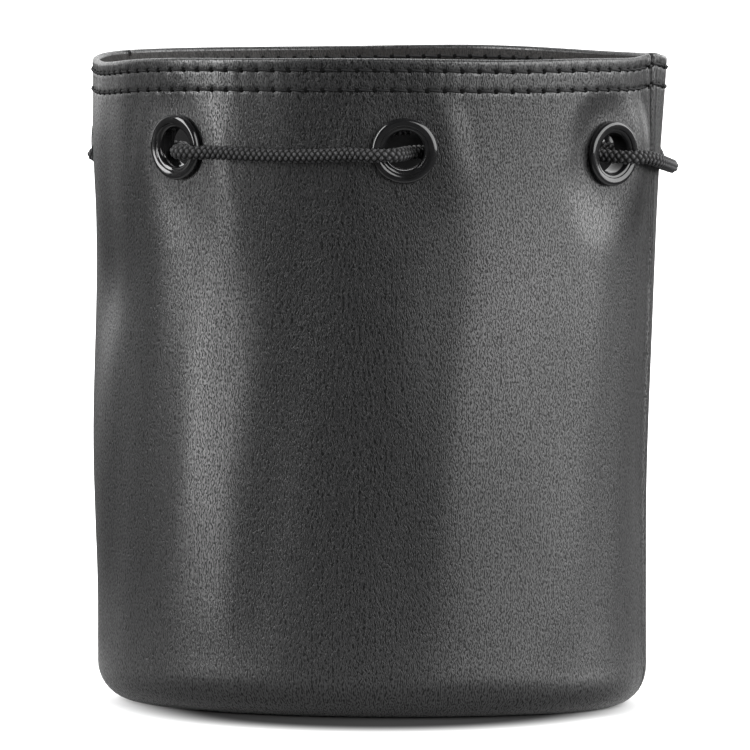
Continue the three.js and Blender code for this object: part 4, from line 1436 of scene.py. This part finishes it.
class POUCH_OT_stitches(PouchOperator, Operator):
    """Sews the two rows of topstitches round the mouth, outside and inside"""
    bl_idname = "pouch.stitches"
    bl_label = "Topstitches"

    def execute(self, context):
        wall = Wall()
        stitch = settings().stitch
        material = thread_material()
        for side, face, depth in (("outside", "outer", 0.0), ("inside", "inner", wall.leather.hem_thickness)):
            points, along, outward = self.rows(wall, face, depth)
            mesh = bpy.data.meshes.new(f"topstitch_{side}")
            mesh.from_pydata(points.tolist(), [], [])
            for name, values in (("along", along), ("outward", outward)):
                layer = mesh.attributes.new(name, "FLOAT_VECTOR", "POINT")
                layer.data.foreach_set("vector", values.astype(np.float32).ravel())
            piece = link(f"topstitch_{side}", mesh)
            run_tree(piece, shared("Topstitch", stitch_tree), {
                "Pitch": wall.stitch_pitch(), "Thread": stitch.thread, "Dive": stitch.dive,
                "Rise": stitch.thread * 0.8, "Material": material,
            })
            face_outwards(piece.data)
            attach(piece, "pouch")
        return {"FINISHED"}

    def rows(self, wall, face, depth):
        """The middles of the stitches in both rows of one face, and which way they run and face."""
        stitch = settings().stitch
        pitch = wall.stitch_pitch()
        places = (np.arange(stitch.count) + 0.5) * pitch
        outward = np.pad(wall.rim(places)[1], ((0, 0), (0, 1))) * (1 if face == "outer" else -1)
        points, alongs = [], []
        for drop in (stitch.upper_drop, stitch.lower_drop):
            row = Row(wall.height - drop, depth, face)
            points.append(wall_point(wall, row, places))
            before, after = [wall_point(wall, row, places + share * pitch) for share in (-0.4, 0.4)]
            alongs.append((after - before) / np.linalg.norm(after - before, axis=1, keepdims=True))
        return np.vstack(points), np.vstack(alongs), np.vstack([outward, outward])


class POUCH_OT_eyelets(PouchOperator, Operator):
    """Sets the seven eyelets and their washers"""
    bl_idname = "pouch.eyelets"
    bl_label = "Eyelets"

    def execute(self, context):
        eyelet = settings().eyelet
        material = enamel_material()
        for number, seat in enumerate(Wall().seats, 1):
            for name, profile in (("eyelet", eyelet_profile(eyelet)), ("washer", washer_profile(eyelet))):
                piece = lathe(f"set_{name}_{number}", profile, 96, seat.matrix())
                dress(piece, material, 35)
                node = f"eyelet_{number}" if name == "eyelet" else f"eyelet_washer_{number}"
                stand_in(piece, node)
        return {"FINISHED"}


class POUCH_OT_lining(PouchOperator, Operator):
    """Hangs the front and the rear of the lining"""
    bl_idname = "pouch.lining"
    bl_label = "Lining"

    def execute(self, context):
        wall = Wall()
        material = lining_material()
        top = wall.height - settings().lining.tuck
        rows = self.rows(wall, top)
        drops = np.array([wall.height - row.height for row in rows])
        for name, (start, end) in wall.spans(0.15 * MM).items():
            along = np.linspace(start, end, round((end - start) / (1.6 * MM)))
            points = np.stack([self.hang(wall, row, along) for row in rows], 1)
            piece = grid_piece(f"lining_cloth_{name}", points, surface_at(along, drops))
            cut(piece, eyelet_drills(wall))
            dress(piece, material, 60)
            stand_in(piece, f"lining_{name}")
        return {"FINISHED"}

    def rows(self, wall, top):
        """Down the outer face from under the hem to the foot, and up the inner face again."""
        leather = wall.leather
        heights = [top] + steps(top, leather.edge_radius, 2.4 * MM)
        faces = []
        for depth in (leather.thickness + GAP, leather.thickness + GAP + settings().lining.thickness):
            face = [Row(z, depth) for z in heights]
            faces.append(face + [foot_row(leather, depth, degrees, "") for degrees in (15, 32)])
        return faces[0] + faces[1][::-1]

    def hang(self, wall, row, along):
        """The points of one row, with soft folds that fade in below the hem."""
        hem_foot = wall.height - wall.leather.hem_depth
        level = np.full(along.shape, row.height)
        free = smoothstep(hem_foot - level, 2 * MM, 22 * MM)
        turn = 2 * math.pi * along / wall.length
        share = level / wall.height
        fold = 0.5 + 0.28 * np.sin(17 * turn + 9 * share) + 0.22 * np.sin(31 * turn + 2.0 - 14 * share)
        up = None if row.up is None else np.full(along.shape, row.up)
        return wall.point(along, level, row.depth, row.extra + settings().lining.fold * free * fold, up)


class POUCH_OT_floor(PouchOperator, Operator):
    """Lays the lining floor on the base board, and gives the board its material"""
    bl_idname = "pouch.floor"
    bl_label = "Lining Floor"

    def execute(self, context):
        wall = Wall()
        low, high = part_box("lining_bottom")
        inset = wall.half[0] - high.x
        edge = 0.2 * MM
        rings = [
            (inset + 20 * MM, high.z + 0.1 * MM, 0.5), (inset + 12 * MM, high.z, 1),
            (inset + edge, high.z, 1), (inset, low.z + edge / 2, 1), (inset + edge, low.z, 1),
            (inset + 20 * MM, low.z, 0.5),
        ]
        floor = oval_plate("lining_cloth_floor", wall, rings)
        dress(floor, bpy.data.materials.get("Woven Lining") or lining_material())
        stand_in(floor, "lining_bottom")
        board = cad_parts["bottom_board"]
        board.data.materials.clear()
        board.data.materials.append(moulded_material("Stiffener Board", (0.07, 0.07, 0.072), 0.75))
        return {"FINISHED"}


class POUCH_OT_lock(PouchOperator, Operator):
    """Makes the cord lock: barrel, button and spring"""
    bl_idname = "pouch.lock"
    bl_label = "Cord Lock"

    def execute(self, context):
        low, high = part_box("lock_barrel")
        middle = (low.z + high.z) / 2
        place = Matrix.Translation((0, low.y, middle)) @ Matrix.Rotation(-math.pi / 2, 4, "X")
        plastic = moulded_material("Moulded Lock", (0.014, 0.014, 0.0145), 0.42)
        profile = barrel_profile(high.y - low.y, (high.x - low.x) / 2)
        barrel = lathe("lock_barrel_shell", profile, 72, place)
        cut(barrel, cord_slot(place, 0.0))
        dress(barrel, plastic, 32)
        stand_in(barrel, "lock_barrel", "cord_lock")
        foot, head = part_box("lock_plunger")
        profile = button_profile(foot.y - low.y, head.y - low.y, (head.x - foot.x) / 2)
        button = lathe("lock_button", profile, 64, place)
        cut(button, cord_slot(place, BUTTON_TRAVEL))
        dress(button, plastic, 32)
        stand_in(button, "lock_plunger", "lock_button")
        self.spring(context, middle)
        return {"FINISHED"}

    def spring(self, context, middle):
        low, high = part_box("lock_spring")
        line = coil_points(low, high)
        data = bpy.data.curves.new("lock_coil", "CURVE")
        data.dimensions = "3D"
        spline = data.splines.new("POLY")
        spline.points.add(len(line) - 1)
        for point, where in zip(spline.points, line):
            point.co = (*where, 1)
        data.bevel_depth = SPRING_WIRE
        data.bevel_resolution = 3
        data.use_fill_caps = True
        curve = link("coil_curve", data)
        mesh = bpy.data.meshes.new_from_object(curve.evaluated_get(context.evaluated_depsgraph_get()))
        bpy.data.objects.remove(curve)
        coil = link("lock_coil", mesh)
        face_outwards(coil.data)
        dress(coil, steel_material(), 60)
        stand_in(coil, "lock_spring", "cord_lock")
        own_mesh(coil)


# Degrees to the right of the camera, above the horizon and of roll, then the width, height and
# distance in metres, and watts
LAMPS = {
    "left_lamp": (-71, 24, 0, 0.5, 1.5, 1.4, 34),
    "right_lamp": (61, 24, 9, 3.0, 1.5, 1.45, 98),
    "top_lamp": (180, 80, 0, 0.35, 0.35, 1.2, 3),
}
LAMP_AIM = 0.05  # height that the lamps look at, in metres
FLOOR_REACH = 6.0  # from the middle of the floor to its sides, in metres
FLOOR_WHITE = (0.86, 0.86, 0.86, 1)
# Painted shadow: the floor's colour where the bag touches it
FLOOR_PAINTED_SHADOW = (0.02, 0.02, 0.02, 1)  # where the bag touches the floor
# Painted shade: the floor as the bag sees it, dim near its foot and darker further off
FLOOR_NEAR = (0.38, 0.38, 0.38, 1)  # what the bag sees of the floor near its foot
FLOOR_FAR = (0.06, 0.06, 0.06, 1)


def painted_shadow_group(name):
    """A soft contact shadow painted in front of the bag's foot, and a glow that keeps the floor white."""
    group, nodes, given, result = new_tree(
        "ShaderNodeTree", name, [("Place", VECTOR, None)], [("Shade", FLOAT), ("Glow", FLOAT)]
    )
    aside = nodes.number("DOT_PRODUCT", given["Place"], direction(math.pi / 2))
    nearer = nodes.number("DOT_PRODUCT", given["Place"], direction(0.0))
    across = nodes.math("DIVIDE", nodes.math("SUBTRACT", aside, 0.002), 0.059)
    ahead = nodes.math("DIVIDE", nodes.math("SUBTRACT", nearer, 0.015), 0.076)
    reach = nodes.number("LENGTH", nodes.xyz(X=across, Y=ahead))
    away = nodes.number("LENGTH", given["Place"])
    glow = nodes.ramp(away, 0.15, 0.9, 0.5, 1.6)
    nodes.fill(result, {"Shade": nodes.ramp(reach, 0.72, 1.22), "Glow": glow})
    return group


class POUCH_OT_stage(PouchOperator, Operator):
    """Puts up the floor, the lamps and the studio round the pouch"""
    bl_idname = "pouch.stage"
    bl_label = "Studio"

    def execute(self, context):
        context.scene.view_settings.view_transform = "Standard"
        self.floor()
        self.world(context.scene)
        for name, values in LAMPS.items():
            self.lamp(name, *values)
        return {"FINISHED"}

    def lamp(self, name, side, rise, roll, width, tall, distance, power):
        data = bpy.data.lights.new(name, "AREA")
        data.shape = "RECTANGLE"
        data.size, data.size_y = width, tall
        data.energy = power
        lamp = link(name, data)
        lamp.location = direction(math.radians(side), math.radians(rise)) * distance
        aim = (Vector((0, 0, LAMP_AIM)) - lamp.location).to_track_quat("-Z", "Y")
        lamp.rotation_euler = (aim @ Quaternion((0, 0, 1), math.radians(roll))).to_euler()

    def floor(self):
        mesh = bpy.data.meshes.new("floor")
        corners = [(x * FLOOR_REACH, y * FLOOR_REACH, 0) for x, y in ((-1, -1), (1, -1), (1, 1), (-1, 1))]
        mesh.from_pydata(corners, [], [(0, 1, 2, 3)])
        floor = link("floor", mesh)
        floor.data.materials.append(self.floor_material())

    def floor_material(self):
        """The camera sees a white floor with a painted contact shadow, and the bag sees a floor painted dim
        as shade.
        """
        material, nodes, shader = new_material("Studio Floor")
        place = object_place(nodes)
        camera_ray = nodes.add("ShaderNodeLightPath").outputs["Is Camera Ray"]
        contact = group_node(nodes, shared("Contact Shade", painted_shadow_group), Place=place)
        away = nodes.number("LENGTH", place)
        dim = nodes.mix(nodes.ramp(away, 0.11, 0.24), FLOOR_NEAR, FLOOR_FAR)
        # Painted shadow: the floor's colour darkens towards the bag's foot, as the camera sees it
        seen = nodes.mix(contact["Shade"], FLOOR_PAINTED_SHADOW, FLOOR_WHITE)
        glow = nodes.math("MULTIPLY", contact["Shade"], contact["Glow"])
        nodes.fill(shader, {
            "Base Color": nodes.mix(camera_ray, dim, seen),
            "Roughness": 0.9,
            "Specular IOR Level": 0.1,
            "Emission Color": (1, 1, 1, 1),
            "Emission Strength": nodes.math("MULTIPLY", camera_ray, glow),
        })
        return material

    def world(self, scene):
        """White to the camera, and brighter behind the bag than in front of it to everything else."""
        world = bpy.data.worlds.new("studio")
        world.use_nodes = True
        world.node_tree.nodes.clear()
        nodes = Nodes(world.node_tree)
        way = nodes.add("ShaderNodeTexCoord").outputs["Generated"]
        room = nodes.ramp(nodes.number("DOT_PRODUCT", way, direction(math.pi)), -0.1, 0.85, 0.03, 1.6)
        camera_ray = nodes.add("ShaderNodeLightPath").outputs["Is Camera Ray"]
        strength = nodes.math("MAXIMUM", room, camera_ray)
        light = nodes.output("ShaderNodeBackground", {"Color": (1, 1, 1, 1), "Strength": strength})
        nodes.add("ShaderNodeOutputWorld", {"Surface": light})
        scene.world = world


class POUCH_PT_sizes(Panel):
    """Sizes and colours of the pouch, and its operators"""
    bl_label = "Valuables Pouch"
    bl_idname = "POUCH_PT_sizes"
    bl_space_type = "VIEW_3D"
    bl_region_type = "UI"
    bl_category = "Pouch"

    def draw(self, context):
        groups = context.scene.pouch
        for name in ("leather", "stitch", "eyelet", "cord", "lining", "stage"):
            box = self.layout.box()
            box.label(text=name.title())
            group = getattr(groups, name)
            for key in group.bl_rna.properties.keys():
                if key not in ("rna_type", "name"):
                    box.prop(group, key)
        for operator in OPERATORS:
            self.layout.operator(operator.bl_idname)


OPERATORS = [
    POUCH_OT_camera, POUCH_OT_cords, POUCH_OT_leather, POUCH_OT_stitches, POUCH_OT_eyelets,
    POUCH_OT_lining, POUCH_OT_floor, POUCH_OT_lock, POUCH_OT_stage,
]
GROUPS = [
    LeatherSettings, StitchSettings, EyeletSettings, CordSettings, LiningSettings, StageSettings,
    PouchSettings,
]


def register():
    for item in GROUPS + OPERATORS + [POUCH_PT_sizes]:
        bpy.utils.register_class(item)
    bpy.types.Scene.pouch = PointerProperty(type=PouchSettings)


def unregister():
    del bpy.types.Scene.pouch
    for item in reversed(GROUPS + OPERATORS + [POUCH_PT_sizes]):
        bpy.utils.unregister_class(item)


def declare_cords():
    """Makes a Wall and does nothing with it."""
    wall = Wall()


def main():
    register()
    for operator in OPERATORS:
        group, name = operator.bl_idname.split(".")
        getattr(getattr(bpy.ops, group), name)()
    declare_cords()


if __name__ == "__main__":
    main()
